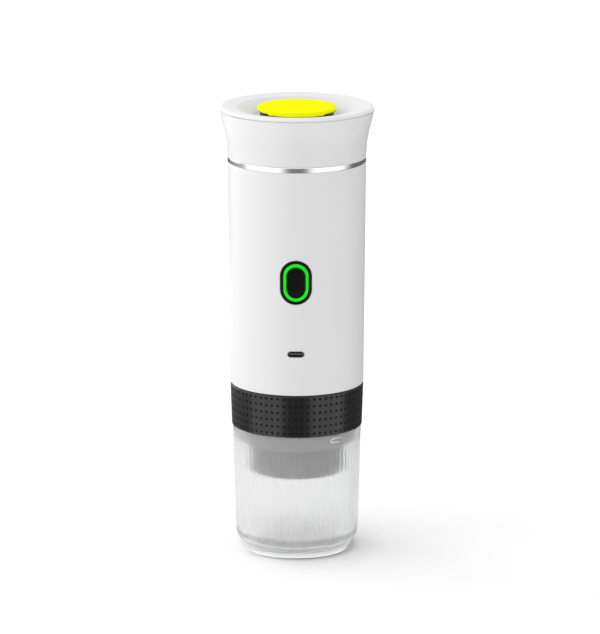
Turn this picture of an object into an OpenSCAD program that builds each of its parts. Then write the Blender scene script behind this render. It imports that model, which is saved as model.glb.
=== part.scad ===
// Portable espresso maker: a battery pump unit with a screw lid over its water tank,
// a screw-on brew holder and a push-on cup that it stands on.
// Millimetres. The origin is the centre of the cup's foot, +Z is up, the button faces -Y.

/* [Cup] */
// Height from foot to lip
cup_h = 68.6; // [62:0.1:90]
// Outer diameter at the lip
cup_lip_d = 69.2; // [67:0.1:70]
// Outer diameter where the wall meets the sloped foot
cup_foot_d = 65.9; // [60:0.1:68]
// Wall thickness
cup_wall = 1.9; // [1.4:0.1:2.4]
// Height of the sloped foot
cup_slope_h = 10.5; // [8:0.1:12]
// Lean of the foot's slope from upright, in degrees
cup_slope_a = 33; // [20:1:40]
// Radius of the bend between wall and slope
cup_bend_r = 8; // [4:0.1:9]
// Depth of the hollow under the floor
cup_hollow_h = 3; // [2:0.1:6]
// Floor thickness
cup_floor_t = 3.3; // [2:0.1:5]
// Width of the flat foot ring
cup_foot_w = 2.8; // [2:0.1:4]
// Radius between floor and wall inside
cup_inner_r = 4.2; // [1:0.1:5]
// Height of the plain lip above the flutes
lip_band_h = 8; // [6:0.1:14]
// Number of flutes
flute_count = 72; // [48:1:84]
// Depth of a flute
flute_depth = 0.25; // [0.2:0.05:0.6]
// Width of a flute
flute_w = 2.3; // [1.5:0.1:2.4]
// Distance from the foot to the lower end of the flutes
flute_start = 11; // [10.5:0.1:20]
// Number of key lugs inside the lip
lug_count = 3; // [2:1:4]
// Width of a lug
lug_w = 9; // [6:0.1:14]
// Height of a lug
lug_h = 3; // [2:0.1:4]
// How far a lug stands out of the wall
lug_t = 0.8; // [0.5:0.1:1.2]
// Distance from the lip to the middle of a lug
lug_drop = 4.3; // [3.5:0.1:5]

/* [Brew holder] */
// Height of the grip band
grip_h = 22.8; // [20:0.1:30]
// Diameter of the grip band at its lower edge
grip_d = 70.2; // [69:0.1:74]
// Thickness of the grip band at its lower edge
grip_t = 2.7; // [2:0.1:3.5]
// Bevel of the grip band's edges
grip_bevel = 0.5; // [0.2:0.1:0.8]
// Wall of the threaded skirt inside the grip
skirt_wall = 2.1; // [1.6:0.1:2.6]
// Thickness of the web between skirt and chamber
web_t = 2.4; // [1.8:0.1:4]
// Height of the collar that the cup is pushed on
collar_h = 7.5; // [6.5:0.1:8]
// Thickness of the collar
collar_t = 2.6; // [2.2:0.1:4]
// Outer diameter of the brew chamber
chamber_d = 51.6; // [42:0.1:53]
// How far the chamber hangs below the grip
chamber_drop = 25.9; // [20:0.1:30]
// Wall of the chamber
chamber_wall = 1.9; // [1.4:0.1:2.4]
// Floor of the chamber
chamber_floor_t = 2; // [1.5:0.1:3]
// Rounded lower edge of the chamber
chamber_edge_r = 1.8; // [0.6:0.1:2]
// Diameter of the coffee outlet
outlet_d = 7; // [4:0.1:10]
// Number of ribs inside the outlet
outlet_ribs = 3; // [3:1:6]

/* [Filter basket] */
// Depth of the basket
basket_depth = 21; // [15:0.1:22]
// Sheet thickness
basket_t = 0.7; // [0.5:0.1:1]
// Width of the flange outside the chamber's bore
flange_w = 3.4; // [2.8:0.1:4]
// Diameter of the holes in floor and screen
hole_d = 1.2; // [0.8:0.1:1.6]
// Distance between rings of holes
hole_pitch = 4.2; // [3.5:0.1:6]
// Rings of holes
hole_rings = 3; // [2:1:4]

/* [Brew head] */
// Thickness of the flange that closes the body
head_flange_t = 3; // [2.6:0.1:5]
// Thickness of the brew gasket
brew_gasket_t = 3; // [2:0.1:4]
// How far the brew gasket stands out of its groove
brew_gasket_proud = 0.6; // [0.3:0.1:1]
// Thickness of the shower screen
screen_t = 0.8; // [0.5:0.1:1.2]
// Depth of the water space above the screen
shower_gap = 1.6; // [1:0.1:3]
// Bore of the water passages
water_bore_d = 3; // [2:0.1:3.4]

/* [Body] */
// Height of the body sleeve
body_h = 120.8; // [116:0.1:150]
// Outer diameter at the lower edge
body_bottom_d = 71.7; // [71:0.1:76]
// Outer diameter at the upper edge
body_top_d = 74; // [73:0.1:78]
// Wall of the sleeve
body_wall = 2; // [1.6:0.1:2.4]
// Height of the trim ring
ring_h = 2.9; // [2:0.1:5]
// Seam between neighbouring shells
seam = 0.3; // [0.2:0.05:0.5]

/* [Lid] */
// Height of the lid
lid_h = 26; // [24:0.1:32]
// Diameter of the rim
rim_d = 83; // [79:0.1:88]
// Height of the plain foot below the flare
flare_start = 6.5; // [3:0.1:10]
// How far the foot widens up to the flare
foot_spread = 0.5; // [0:0.05:1]
// Wall of the lid
lid_wall = 2.2; // [1.8:0.1:2.6]
// Width of the flat rim
rim_w = 9.5; // [6:0.1:12]
// Rounded outer edge of the rim
rim_edge_r = 1.3; // [0.6:0.1:2]
// Depth of the dish
dish_h = 5.4; // [4.5:0.1:7]
// Diameter of the filling hole
fill_d = 31; // [26:0.1:33]
// Wall of the threaded liner
liner_wall = 2; // [1.6:0.1:2.2]
// Thickness of the lid gasket
lid_gasket_t = 2.4; // [1.6:0.1:3]

/* [Vent plug] */
// Diameter of the cap
cap_d = 42; // [38:0.1:44]
// Thickness of the cap
cap_t = 2; // [1.6:0.1:2.6]
// How far the cap stands above the rim
cap_rise = 0.4; // [0:0.1:1.5]
// Rounded upper edge of the cap
cap_edge_r = 0.7; // [0.3:0.1:1]
// How far the cap overhangs the plug's collar
cap_overhang = 1.4; // [0.8:0.1:2]
// Drop of the lift lip at the front of the cap
lip_drop = 0.6; // [0.3:0.1:0.8]
// Angle that the lift lip takes up
lip_angle = 90; // [40:1:120]
// Length of the plug below its seat
plug_h = 9; // [7:0.1:11]
// Wall of the plug
plug_wall = 2.6; // [2.2:0.1:3.5]
// Thickness of the plug's seal ring
seal_d = 2; // [1.5:0.1:2.4]

/* [Button] */
// Width of the surround
button_w = 17.1; // [15:0.1:20]
// Height of the surround
button_h = 23.8; // [21:0.1:27]
// Height of the button above the body's lower edge
button_up = 61.8; // [52:0.1:64]
// Visible width of the surround
bezel_w = 1.6; // [1.2:0.1:2.2]
// Width of the lit ring
light_w = 1.7; // [1.2:0.1:2.2]
// How far the surround stands out of the body
bezel_proud = 0.35; // [0.1:0.05:0.8]
// Travel of the button
button_travel = 0.8; // [0.5:0.05:1]
// Thickness of each flange behind the sleeve
button_flange_t = 1.1; // [0.9:0.1:1.4]

/* [Charging socket] */
// Width of the socket's shell
usb_w = 8.94; // [8.9:0.01:9]
// Height of the socket's shell
usb_h = 3.2; // [3.1:0.01:3.3]
// Length of the socket
usb_l = 7.4; // [6.5:0.1:9]
// Sheet of the socket's shell
usb_t = 0.3; // [0.25:0.01:0.4]
// Height of the socket above the body's lower edge
usb_up = 22.7; // [18:0.1:30]
// How far the socket's mouth sits below the surface
usb_inset = 0.4; // [0.2:0.1:0.8]

/* [Tank] */
// Sheet of the tank
tank_t = 0.8; // [0.6:0.1:1.2]
// Space between tank and sleeve
tank_gap = 5; // [4.8:0.1:7]
// Thickness of the heater
heater_t = 2.4; // [1.6:0.1:4]
// Height of the rim under the heater
heater_rim_h = 3.2; // [2.6:0.1:5]
// Wall of the tank's neck
neck_wall = 2; // [1.6:0.1:2.6]
// Thickness of the tank's seal
tank_seal_t = 1.4; // [1:0.1:2]

/* [Power and pump] */
// Diameter of a cell
cell_d = 18.4; // [18:0.1:18.6]
// Length of a cell
cell_h = 65; // [62:0.1:70]
// Thickness of the decks
deck_t = 3; // [2.4:0.1:4]
// Thickness of the control board
board_t = 1.6; // [1:0.1:2]
// Width of the control board
board_w = 34; // [28:0.1:36]
// Diameter of the motor
motor_d = 20.4; // [18:0.1:21]
// Length of the motor
motor_h = 25.5; // [20:0.1:26]
// Teeth on each pump gear
gear_teeth = 14; // [12:1:16]
// Pitch diameter of the pump gears
gear_pitch_d = 10.5; // [9.5:0.1:10.8]
// Thickness of the pump gears
gear_t = 6.6; // [5:0.1:7]
// Height of the pump above the lower deck
pump_up = 24; // [22:0.1:25]
// Diameter of the check valve's ball
ball_d = 4.4; // [4:0.1:4.6]

/* [Threads] */
// Rise of one full turn
lead = 14; // [12:0.5:16]
// Ridge height out of its wall
ridge_h = 1.5; // [1.2:0.1:1.6]
// Ridge width at its root
ridge_w = 2.2; // [1.6:0.1:2.4]

/* [Clearances] */
// Between fixed pieces that fit in each other
fit = 0.1; // [0.05:0.01:0.2]
// Between pieces that move past each other
run = 0.3; // [0.2:0.05:0.4]
// Round a shaft in its bore
bore_gap = 0.05; // [0.02:0.01:0.08]
// Between flat faces that meet
touch = 0.05; // [0.02:0.01:0.1]

/* [Hidden] */
$fn = 96;
far = 200;

// Heights of the seams, from the foot up
grip_z0 = cup_h + seam;
grip_z1 = grip_z0 + grip_h;
body_z0 = grip_z1 + seam;
body_z1 = body_z0 + body_h;
ring_z1 = body_z1 + ring_h;
lid_z0 = ring_z1 + seam;
rim_z = lid_z0 + lid_h;
button_z = body_z0 + button_up;
usb_z = body_z0 + usb_up;

function mix(a, b, t) = a + (b - a) * t;
function body_r(z) = mix(body_bottom_d, body_top_d, (z - body_z0) / body_h) / 2;
function body_ri(z) = body_r(z) - body_wall;
function cup_r(z) = mix(cup_foot_d, cup_lip_d, (z - cup_slope_h) / (cup_h - cup_slope_h)) / 2;
function cup_ri(z) = cup_r(z) - cup_wall;
function polar(r, a) = [r * cos(a), r * sin(a)];
function arc(c, r, a0, a1, steps) = [for (i = [0 : steps]) c + polar(r, mix(a0, a1, i / steps))];

// Holder
skirt_ro = grip_d / 2 - grip_t - fit;
skirt_ri = skirt_ro - skirt_wall;
skirt_top = grip_z1 - seam;
web_z1 = grip_z0 + web_t;
collar_z0 = grip_z0 - collar_h;
collar_ro = cup_ri(collar_z0) - run;
lug_z = cup_h - lug_drop;
keyway_x = sqrt(pow(cup_ri(lug_z) - lug_t, 2) - pow(lug_w / 2, 2)) - run;
cup_seal_z = mix(lug_z + lug_h / 2, cup_h, 0.6);
cup_seal_d = 1.6;
chamber_ri = chamber_d / 2 - chamber_wall;
chamber_z0 = grip_z0 - chamber_drop;
// The lug on the front right of the cup, and the others evenly round
lug_azimuth = -51;

// Basket and brew head
basket_ro = chamber_ri - run;
flange_r = chamber_ri + flange_w;
flange_z1 = web_z1 + touch + basket_t;
boss_r = skirt_ri - ridge_h - 2 * run;
gasket_z0 = flange_z1 + touch;
boss_z0 = gasket_z0 + brew_gasket_proud;
gasket_z1 = gasket_z0 + brew_gasket_t;
screen_r = basket_ro - basket_t - run;
groove_ri = screen_r + 2 * run;
head_z1 = body_z0 + head_flange_t;

// Decks, cells and pump
low_z1 = head_z1 + deck_t;
tab_t = 0.3;
cell_z0 = low_z1 + tab_t;
cell_z1 = cell_z0 + cell_h;
up_z0 = cell_z1 + tab_t + fit;
up_z1 = up_z0 + deck_t;
cell_gap = 2.1;
cell_orbit = body_ri(low_z1) - cell_d / 2 - cell_gap;
post_r = 2.3;
post_orbit = body_ri(low_z1) - post_r - 2 * run;
post_angles = [30, 150];
gear_c = gear_pitch_d / 2;
gear_addendum = 0.8;
pump_z0 = low_z1 + pump_up;
pump_floor_t = 4;
pump_z1 = pump_z0 + pump_floor_t + gear_t + 2 * fit;
pump_cover_t = 2;
shaft_end = 2;
motor_z0 = pump_z1 + pump_cover_t;
gear_z0 = pump_z0 + pump_floor_t + fit;
inlet_at = [13, 4];
outlet_at = [-8, 0];
spigot_r = 2.4;
hose_t = 1.2;
hose_room = 0.6;
inlet_spigot_l = 9;
valve_spigot_l = 5;
board_gap = 9.9;
board_end_gap = 1;
rail_h = 5;
board_y = -(body_ri(button_z) - board_gap);
board_back_y = board_y + board_t;
front_post = [0, (board_back_y - gear_c - motor_d / 2) / 2];

// Tank and neck
tank_ro = body_ri(body_z1) - tank_gap;
heater_z0 = up_z1 + heater_rim_h;
tank_z0 = heater_z0 + heater_t;
heater_inset = 1.2;
tank_flange_w = 2.4;
neck_recess = 0.6;
seal_z1 = body_z1 + neck_recess;
tank_z1 = seal_z1 - tank_seal_t;
seat_z = rim_z - dish_h;
plate_t = 2;
plate_z0 = seat_z - lid_wall - plate_t;
neck_z1 = plate_z0 - lid_gasket_t - 2 * touch;
liner_ro = body_top_d / 2 - lid_wall - fit;
liner_ri = liner_ro - liner_wall;
neck_ro = liner_ri - ridge_h - 2 * run;
neck_ri = neck_ro - neck_wall;
neck_post_r = 1.9;
neck_screw_depth = 7;
neck_post_orbit = (tank_ro + body_ri(up_z1)) / 2;
neck_post_angles = [45, 135, 225, 315];
ring_ri = body_ri(body_z1);

// Vent plug
cap_z1 = rim_z + cap_rise;
cap_z0 = cap_z1 - cap_t;
plug_r = fill_d / 2 - run;
plug_z0 = seat_z - plug_h;
vent_seal_z = seat_z - plug_h / 2;
collar_r = cap_d / 2 - cap_overhang;

// Button, counted inwards from the body's surface
bezel_in = body_wall + fit + button_flange_t;
light_in = bezel_in + fit + button_flange_t;
press_in = light_in + fit + button_flange_t;
light_outer_w = button_w - 2 * bezel_w;
light_outer_h = button_h - 2 * bezel_w;
press_w = light_outer_w - 2 * light_w;
press_h = light_outer_h - 2 * light_w;
flange_step = 1.3;
stem_r = 1.9;
switch_side = 6.2;
switch_t = 3.7;
plunger_r = 1.7;
plunger_out = 1;
switch_y = board_y - switch_t;
plunger_y = switch_y - plunger_out;
mouth_y = -(body_r(usb_z) - usb_inset);
usb_back_t = 0.8;

// Screws
screw_r = 1;
screw_head_r = 1.7;
screw_head_h = 1.4;
shower_screw_l = 9;

// Revolves an outline of [radius, height] points about the Z axis
module turned(points) {
    rotate_extrude() polygon(points);
}

module tube(r_out, r_in, z0, z1) {
    turned([[r_in, z0], [r_out, z0], [r_out, z1], [r_in, z1]]);
}

module rod(r, z0, z1) {
    translate([0, 0, z0]) cylinder(r = r, h = z1 - z0);
}

module at(p) {
    translate([p[0], p[1], 0]) children();
}

module around(count, start = 0) {
    for (i = [0 : count - 1]) rotate(start + 360 * i / count) children();
}

// A slot outline with round ends
module pill(w, h) {
    short = min(w, h);
    square([w > h ? w - short : w, w > h ? h : h - short], center = true);
    for (s = [-1, 1]) {
        translate(w > h ? [s * (w - short) / 2, 0] : [0, s * (h - short) / 2]) circle(d = short);
    }
}

// A slot outline at height z, pushed out of the axis towards the front
module front_prism(w, h, z) {
    translate([0, 0, z]) rotate([90, 0, 0]) linear_extrude(far) pill(w, h);
}

// The part of a front prism between two depths below the body's surface
module front_skin(w, h, z, depth_in, depth_out) {
    z0 = z - h / 2 - 1;
    z1 = z + h / 2 + 1;
    intersection() {
        front_prism(w, h, z);
        turned([
            [body_r(z0) - depth_in, z0], [body_r(z0) - depth_out, z0],
            [body_r(z1) - depth_out, z1], [body_r(z1) - depth_in, z1]
        ]);
    }
}

// A slot-shaped plate from one depth to the surface, with a flange left standing behind a given depth
module flanged_skin(w, h, depth_in, flange_depth) {
    wide = w + 2 * flange_step;
    high = h + 2 * flange_step;
    difference() {
        front_skin(wide, high, button_z, depth_in, -bezel_proud);
        difference() {
            front_skin(wide + 2, high + 2, button_z, flange_depth, -bezel_proud - 1);
            front_prism(w, h, button_z);
        }
    }
}

// A screw along +Z with its head below z
module screw(z, length) {
    rod(screw_head_r, z - screw_head_h, z);
    rod(screw_r, z - fit, z + length);
}

// A thread ridge that climbs right-handed from angle a0 to a1, centred on height z at angle 0
module ridge(root_r, crest_r, z, a0, a1) {
    step = 10;
    steps = ceil((a1 - a0) / step);
    crest_w = ridge_w / 2;
    section = [
        [root_r, -ridge_w / 2], [crest_r, -crest_w / 2], [crest_r, crest_w / 2], [root_r, ridge_w / 2]
    ];
    outline = root_r < crest_r ? section : [for (i = [3 : -1 : 0]) section[i]];
    rings = [for (i = [0 : steps]) mix(a0, a1, i / steps)];
    points = [for (a = rings) for (p = outline) [p[0] * cos(a), p[0] * sin(a), z + p[1] + lead * a / 360]];
    sides = [
        for (i = [0 : steps - 1]) for (j = [0 : 3])
            let (k = 4 * i, n = (j + 1) % 4)
                each [[k + j, k + n, k + 4 + n], [k + j, k + 4 + n, k + 4 + j]]
    ];
    last = 4 * steps;
    ends = [[0, 3, 2], [0, 2, 1], [last, last + 1, last + 2], [last, last + 2, last + 3]];
    polyhedron(points, concat(sides, ends));
}

// Two ridges half a turn apart
module ridges(root_r, crest_r, z, a0, a1) {
    for (s = [0, 1]) rotate(180 * s) ridge(root_r, crest_r, z, a0, a1);
}

// The long ridges of a male thread and the short lugs of its female one
male_span = [0, 150];
lug_span = [40, 100];
thread_offset = lead / 4;
embed = 0.4;
thread_lead_in = 1.5;
neck_thread_z = neck_z1 - lead * male_span[1] / 360 - ridge_w;
boss_thread_z = boss_z0 + ridge_w + thread_lead_in;

// A coil spring that stands on z0
module coil(r, wire_d, z0, z1, turns) {
    sides = 6;
    per_turn = 8;
    count = turns * per_turn;
    climb = z1 - z0 - wire_d;
    centres = [
        for (i = [0 : count])
            [r * cos(360 * i / per_turn), r * sin(360 * i / per_turn), z0 + wire_d / 2 + climb * i / count]
    ];
    points = [
        for (i = [0 : count]) for (j = [0 : sides - 1])
            let (a = 360 * i / per_turn, b = 360 * j / sides, d = r + wire_d / 2 * cos(b))
                [d * cos(a), d * sin(a), centres[i][2] + wire_d / 2 * sin(b)]
    ];
    sides_faces = [
        for (i = [0 : count - 1]) for (j = [0 : sides - 1])
            let (k = sides * i, n = (j + 1) % sides)
                each [[k + j, k + n, k + sides + n], [k + j, k + sides + n, k + sides + j]]
    ];
    first = [for (j = [1 : sides - 2]) [0, j + 1, j]];
    base = sides * count;
    last = [for (j = [1 : sides - 2]) [base, base + j, base + j + 1]];
    gap = min([
        for (i = [0 : count]) for (k = [i + per_turn - 1 : count])
            if (k <= count) norm(centres[i] - centres[k])
    ]) - wire_d;
    echo("least gap between turns", gap);
    polyhedron(points, concat(sides_faces, first, last));
}

// Holes on rings, for the basket's floor and the shower screen
module hole_pattern(z0, z1) {
    for (k = [1 : hole_rings]) {
        around(6 * k) translate([k * hole_pitch, 0, 0]) rod(hole_d / 2, z0, z1);
    }
}

// Involute outline of a pump gear
function involute(base_r, t) = [
    base_r * (cos(t) + t * PI / 180 * sin(t)),
    base_r * (sin(t) - t * PI / 180 * cos(t))
];

function turn2(p, a) = [p[0] * cos(a) - p[1] * sin(a), p[0] * sin(a) + p[1] * cos(a)];

module gear_outline() {
    pressure = 25;
    unit = gear_pitch_d / gear_teeth;
    pitch_r = gear_pitch_d / 2;
    base_r = pitch_r * cos(pressure);
    tip_r = pitch_r + gear_addendum * unit;
    root_r = pitch_r - unit;
    backlash = 3;
    at_pitch = tan(pressure) * 180 / PI;
    at_tip = sqrt(pow(tip_r / base_r, 2) - 1) * 180 / PI;
    half = 90 / gear_teeth - backlash / 2 + (at_pitch - pressure);
    flank = [for (i = [0 : 4]) turn2(involute(base_r, at_tip * i / 4), -half)];
    mirrored = [for (i = [4 : -1 : 0]) [flank[i][0], -flank[i][1]]];
    tooth = concat([polar(root_r, -half)], flank, mirrored, [polar(root_r, half)]);
    polygon([for (k = [0 : gear_teeth - 1]) for (p = tooth) turn2(p, 360 * k / gear_teeth)]);
}

module vent_cap() {
    r = cap_d / 2;
    round_edge = arc([r - cap_edge_r, cap_z1 - cap_edge_r], cap_edge_r, 0, 90, 6);
    color([1, 0.98, 0.1]) {
        turned(concat([[0, cap_z0], [r, cap_z0]], round_edge, [[0, cap_z1]]));
        rotate(-90 - lip_angle / 2) rotate_extrude(angle = lip_angle)
            translate([collar_r + run, cap_z0 - lip_drop]) square([r - collar_r - run, lip_drop]);
    }
}

module vent_plug() {
    groove_r = fill_d / 2 - seal_d - 2 * fit;
    groove_z0 = vent_seal_z - seal_d / 2 - fit;
    groove_z1 = vent_seal_z + seal_d / 2 + fit;
    color([0.08, 0.08, 0.09]) difference() {
        turned([
            [0, plug_z0], [plug_r, plug_z0], [plug_r, groove_z0], [groove_r, groove_z0],
            [groove_r, groove_z1], [plug_r, groove_z1], [plug_r, seat_z + touch],
            [collar_r, seat_z + touch], [collar_r, cap_z0], [0, cap_z0]
        ]);
        rod(groove_r - plug_wall / 2, plug_z0 - 1, cap_z0 - plug_wall);
    }
}

module vent_seal() {
    section_r = seal_d / 2;
    color([0.75, 0.75, 0.72]) rotate_extrude()
        translate([fill_d / 2 - fit - section_r, vent_seal_z]) circle(section_r, $fn = 32);
}

// The lid's foot widens evenly, and above it a soft S leads to the rim
lid_edge_z = rim_z - rim_edge_r;
lid_slope = foot_spread / flare_start;
lid_flare = (rim_d - body_top_d) / 2 - lid_slope * (lid_edge_z - lid_z0);

function soft_step(t) = t * t * (3 - 2 * t);

function lid_soft(z) = soft_step((z - lid_z0 - flare_start) / (lid_h - flare_start));

function lid_r(z) = body_top_d / 2 + lid_slope * (z - lid_z0)
    + lid_flare * lid_soft(z) / lid_soft(lid_edge_z);

module tank_lid() {
    base_r = body_top_d / 2;
    flare_z = lid_z0 + flare_start;
    rim_fall = 0.3;
    cap_room = 1.2;
    steps = 14;
    dish_r = rim_d / 2 - rim_w;
    seat_r = cap_d / 2 + cap_room;
    under_z = rim_z - lid_wall;
    outer = [for (i = [0 : steps - 1]) let (z = mix(flare_z, lid_edge_z, i / steps)) [lid_r(z), z]];
    inner = [for (i = [steps : -1 : 0]) let (z = mix(flare_z, under_z, i / steps)) [lid_r(z) - lid_wall, z]];
    color([0.95, 0.95, 0.95]) turned(concat(
        [[base_r - lid_wall, lid_z0], [base_r, lid_z0]],
        outer,
        arc([rim_d / 2 - rim_edge_r, lid_edge_z], rim_edge_r, 0, 90, 8),
        [
            [dish_r, rim_z - rim_fall], [seat_r, seat_z], [fill_d / 2, seat_z],
            [fill_d / 2, seat_z - lid_wall], [seat_r, seat_z - lid_wall], [dish_r, under_z]
        ],
        inner
    ));
}

module lid_liner() {
    top = seat_z - lid_wall;
    bore_z0 = plug_z0 + 2;
    color([0.9, 0.9, 0.9]) union() {
        turned([
            [liner_ri, lid_z0 + seam], [liner_ro, lid_z0 + seam], [liner_ro, top], [fill_d / 2, top],
            [fill_d / 2, bore_z0], [fill_d / 2 + liner_wall, bore_z0],
            [fill_d / 2 + liner_wall, plate_z0], [liner_ri, plate_z0]
        ]);
        ridges(liner_ri + embed, liner_ri - ridge_h, neck_thread_z - thread_offset, lug_span[0], lug_span[1]);
    }
}

module lid_gasket() {
    color([0.8, 0.8, 0.78]) tube(liner_ri - run, neck_ri - neck_recess, neck_z1 + touch, plate_z0 - touch);
}

module trim_ring() {
    r = body_top_d / 2 + touch;
    bevel = 0.3;
    color([0.8, 0.8, 0.82]) turned([
        [ring_ri, body_z1], [r - bevel, body_z1], [r, body_z1 + bevel], [r, ring_z1 - bevel],
        [r - bevel, ring_z1], [ring_ri, ring_z1]
    ]);
}

module body_shell() {
    rabbet_h = 1.4;
    color([0.96, 0.96, 0.96]) difference() {
        turned([
            [body_ri(body_z0), body_z0], [body_r(body_z0), body_z0], [body_r(body_z1), body_z1],
            [body_ri(body_z1), body_z1]
        ]);
        rod(body_r(body_z0) - body_wall / 2, body_z0 - 1, body_z0 + rabbet_h);
        front_prism(button_w, button_h, button_z);
        front_prism(usb_w + 2 * fit, usb_h + 2 * fit, usb_z);
    }
}

module button_bezel() {
    color([0.07, 0.07, 0.08]) difference() {
        flanged_skin(button_w - 2 * fit, button_h - 2 * fit, bezel_in, body_wall + fit);
        front_prism(light_outer_w + 2 * fit, light_outer_h + 2 * fit, button_z);
    }
}

module light_ring() {
    color([0.1, 0.95, 0.15]) difference() {
        flanged_skin(light_outer_w, light_outer_h, light_in, bezel_in + fit);
        front_prism(press_w, press_h, button_z);
    }
}

module button_cap() {
    stem_y = -(body_r(button_z) - press_in);
    color([0.09, 0.09, 0.1]) union() {
        flanged_skin(press_w - 2 * run, press_h - 2 * run, press_in, light_in + fit);
        translate([0, plunger_y, button_z]) rotate([90, 0, 0])
            cylinder(r = stem_r, h = plunger_y - stem_y + button_flange_t / 2);
    }
}

module switch_plunger() {
    color([0.15, 0.15, 0.16]) translate([0, plunger_y, button_z]) rotate([-90, 0, 0])
        cylinder(r = plunger_r, h = plunger_out + switch_t / 2 - button_travel);
}

module tact_switch() {
    color([0.55, 0.55, 0.58]) difference() {
        translate([-switch_side / 2, switch_y, button_z - switch_side / 2])
            cube([switch_side, switch_t, switch_side]);
        translate([0, switch_y - 1, button_z]) rotate([-90, 0, 0])
            cylinder(r = plunger_r + bore_gap, h = 1 + switch_t / 2 + run);
    }
}

module light_emitters() {
    size = [2, 0.8, 1.2];
    spread = [press_w / 2 + light_w / 2, press_h / 2];
    color([0.9, 0.95, 0.8]) for (x = [-1, 1]) for (z = [-1, 1]) {
        translate([x * spread[0] - size[0] / 2, board_y - size[1], button_z + z * spread[1] - size[2] / 2])
            cube(size);
    }
}

module usb_socket() {
    color([0.7, 0.7, 0.72]) difference() {
        translate([0, mouth_y + usb_l, usb_z]) rotate([90, 0, 0]) linear_extrude(usb_l) pill(usb_w, usb_h);
        translate([0, mouth_y + usb_l - usb_back_t, usb_z]) rotate([90, 0, 0])
            linear_extrude(usb_l) pill(usb_w - 2 * usb_t, usb_h - 2 * usb_t);
    }
}

module usb_tongue() {
    set_back = 0.9;
    size = [6.7, usb_l - usb_back_t - set_back, 0.7];
    color([0.2, 0.2, 0.21]) translate([-size[0] / 2, mouth_y + set_back, usb_z - size[2] / 2])
        cube(size);
}

module usb_board() {
    w = usb_w + 5;
    t = 1;
    front_y = mouth_y + body_wall + 1;
    color([0.1, 0.35, 0.2]) translate([-w / 2, front_y, usb_z - usb_h / 2 - t])
        cube([w, board_y - front_y, t]);
}

module control_board() {
    chip = [7, 1, 7];
    resistor = [3.2, 1, 1.6];
    low_z = low_z1 + board_end_gap;
    high_z = up_z0 - board_end_gap;
    color([0.1, 0.35, 0.2]) union() {
        translate([-board_w / 2, board_y, low_z]) cube([board_w, board_t, high_z - low_z]);
        translate([-chip[0] / 2, board_y - chip[1], button_z - button_h]) cube(chip);
        for (x = [-1, 1]) {
            translate([x * board_w / 4 - resistor[0] / 2, board_y - resistor[1], usb_z + 2 * usb_h])
                cube(resistor);
        }
    }
}

module tank_neck() {
    post_lap = 2;
    spigot_h = 8;
    spigot_z0 = body_z1 - spigot_h;
    spigot_ro = body_ri(spigot_z0) - fit;
    recess_r = tank_ro + tank_flange_w + fit;
    color([0.88, 0.88, 0.88]) difference() {
        union() {
            turned([
                [neck_ri, seal_z1], [recess_r, seal_z1], [recess_r, spigot_z0], [spigot_ro, spigot_z0],
                [spigot_ro, body_z1], [ring_ri - fit, body_z1], [ring_ri - fit, ring_z1], [neck_ro, ring_z1],
                [neck_ro, neck_z1], [neck_ri, neck_z1]
            ]);
            ridges(neck_ro - embed, neck_ro + ridge_h, neck_thread_z, male_span[0], male_span[1]);
            for (a = neck_post_angles) {
                at(polar(neck_post_orbit, a)) rod(neck_post_r, up_z1, spigot_z0 + post_lap);
            }
        }
        for (a = neck_post_angles) {
            at(polar(neck_post_orbit, a)) rod(screw_r + fit, up_z1 - 1, up_z1 + neck_screw_depth + 2);
        }
    }
}

module tank_seal() {
    color([0.78, 0.78, 0.76]) tube(tank_ro + tank_flange_w - fit, neck_ri, tank_z1, seal_z1);
}

module water_tank() {
    spigot_z0 = up_z0 - 2;
    color([0.75, 0.76, 0.78]) difference() {
        union() {
            turned([
                [0, tank_z0], [tank_ro, tank_z0], [tank_ro, tank_z1 - tank_t],
                [tank_ro + tank_flange_w, tank_z1 - tank_t], [tank_ro + tank_flange_w, tank_z1],
                [tank_ro - tank_t, tank_z1], [tank_ro - tank_t, tank_z0 + tank_t], [0, tank_z0 + tank_t]
            ]);
            at(inlet_at) rod(spigot_r, spigot_z0, tank_z0 + tank_t / 2);
        }
        at(inlet_at) rod(water_bore_d / 2, spigot_z0 - 1, tank_z0 + 2 * tank_t);
    }
}

module heater_plate() {
    color([0.55, 0.5, 0.45]) difference() {
        rod(tank_ro - heater_inset, heater_z0, tank_z0);
        at(inlet_at) rod(spigot_r + hose_t + hose_room, heater_z0 - 1, tank_z0 + 1);
    }
}

module thermal_cutout() {
    spot = [-11, -8];
    r = 5;
    color([0.82, 0.8, 0.75]) at(spot) rod(r, up_z1 + touch, heater_z0);
}

// A pair of slotted feet that hold one end of the control board
module board_rail(z0, z1) {
    rail_x = board_w * 0.35;
    w = 5;
    lip = 1.6;
    for (x = [-1, 1]) difference() {
        translate([x * rail_x - w / 2, board_y - lip, z0]) cube([w, board_t + 2 * lip, z1 - z0]);
        translate([x * rail_x - w, board_y - fit, low_z1 + board_end_gap])
            cube([2 * w, board_t + 2 * fit, up_z0 - low_z1 - 2 * board_end_gap]);
    }
}

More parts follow.
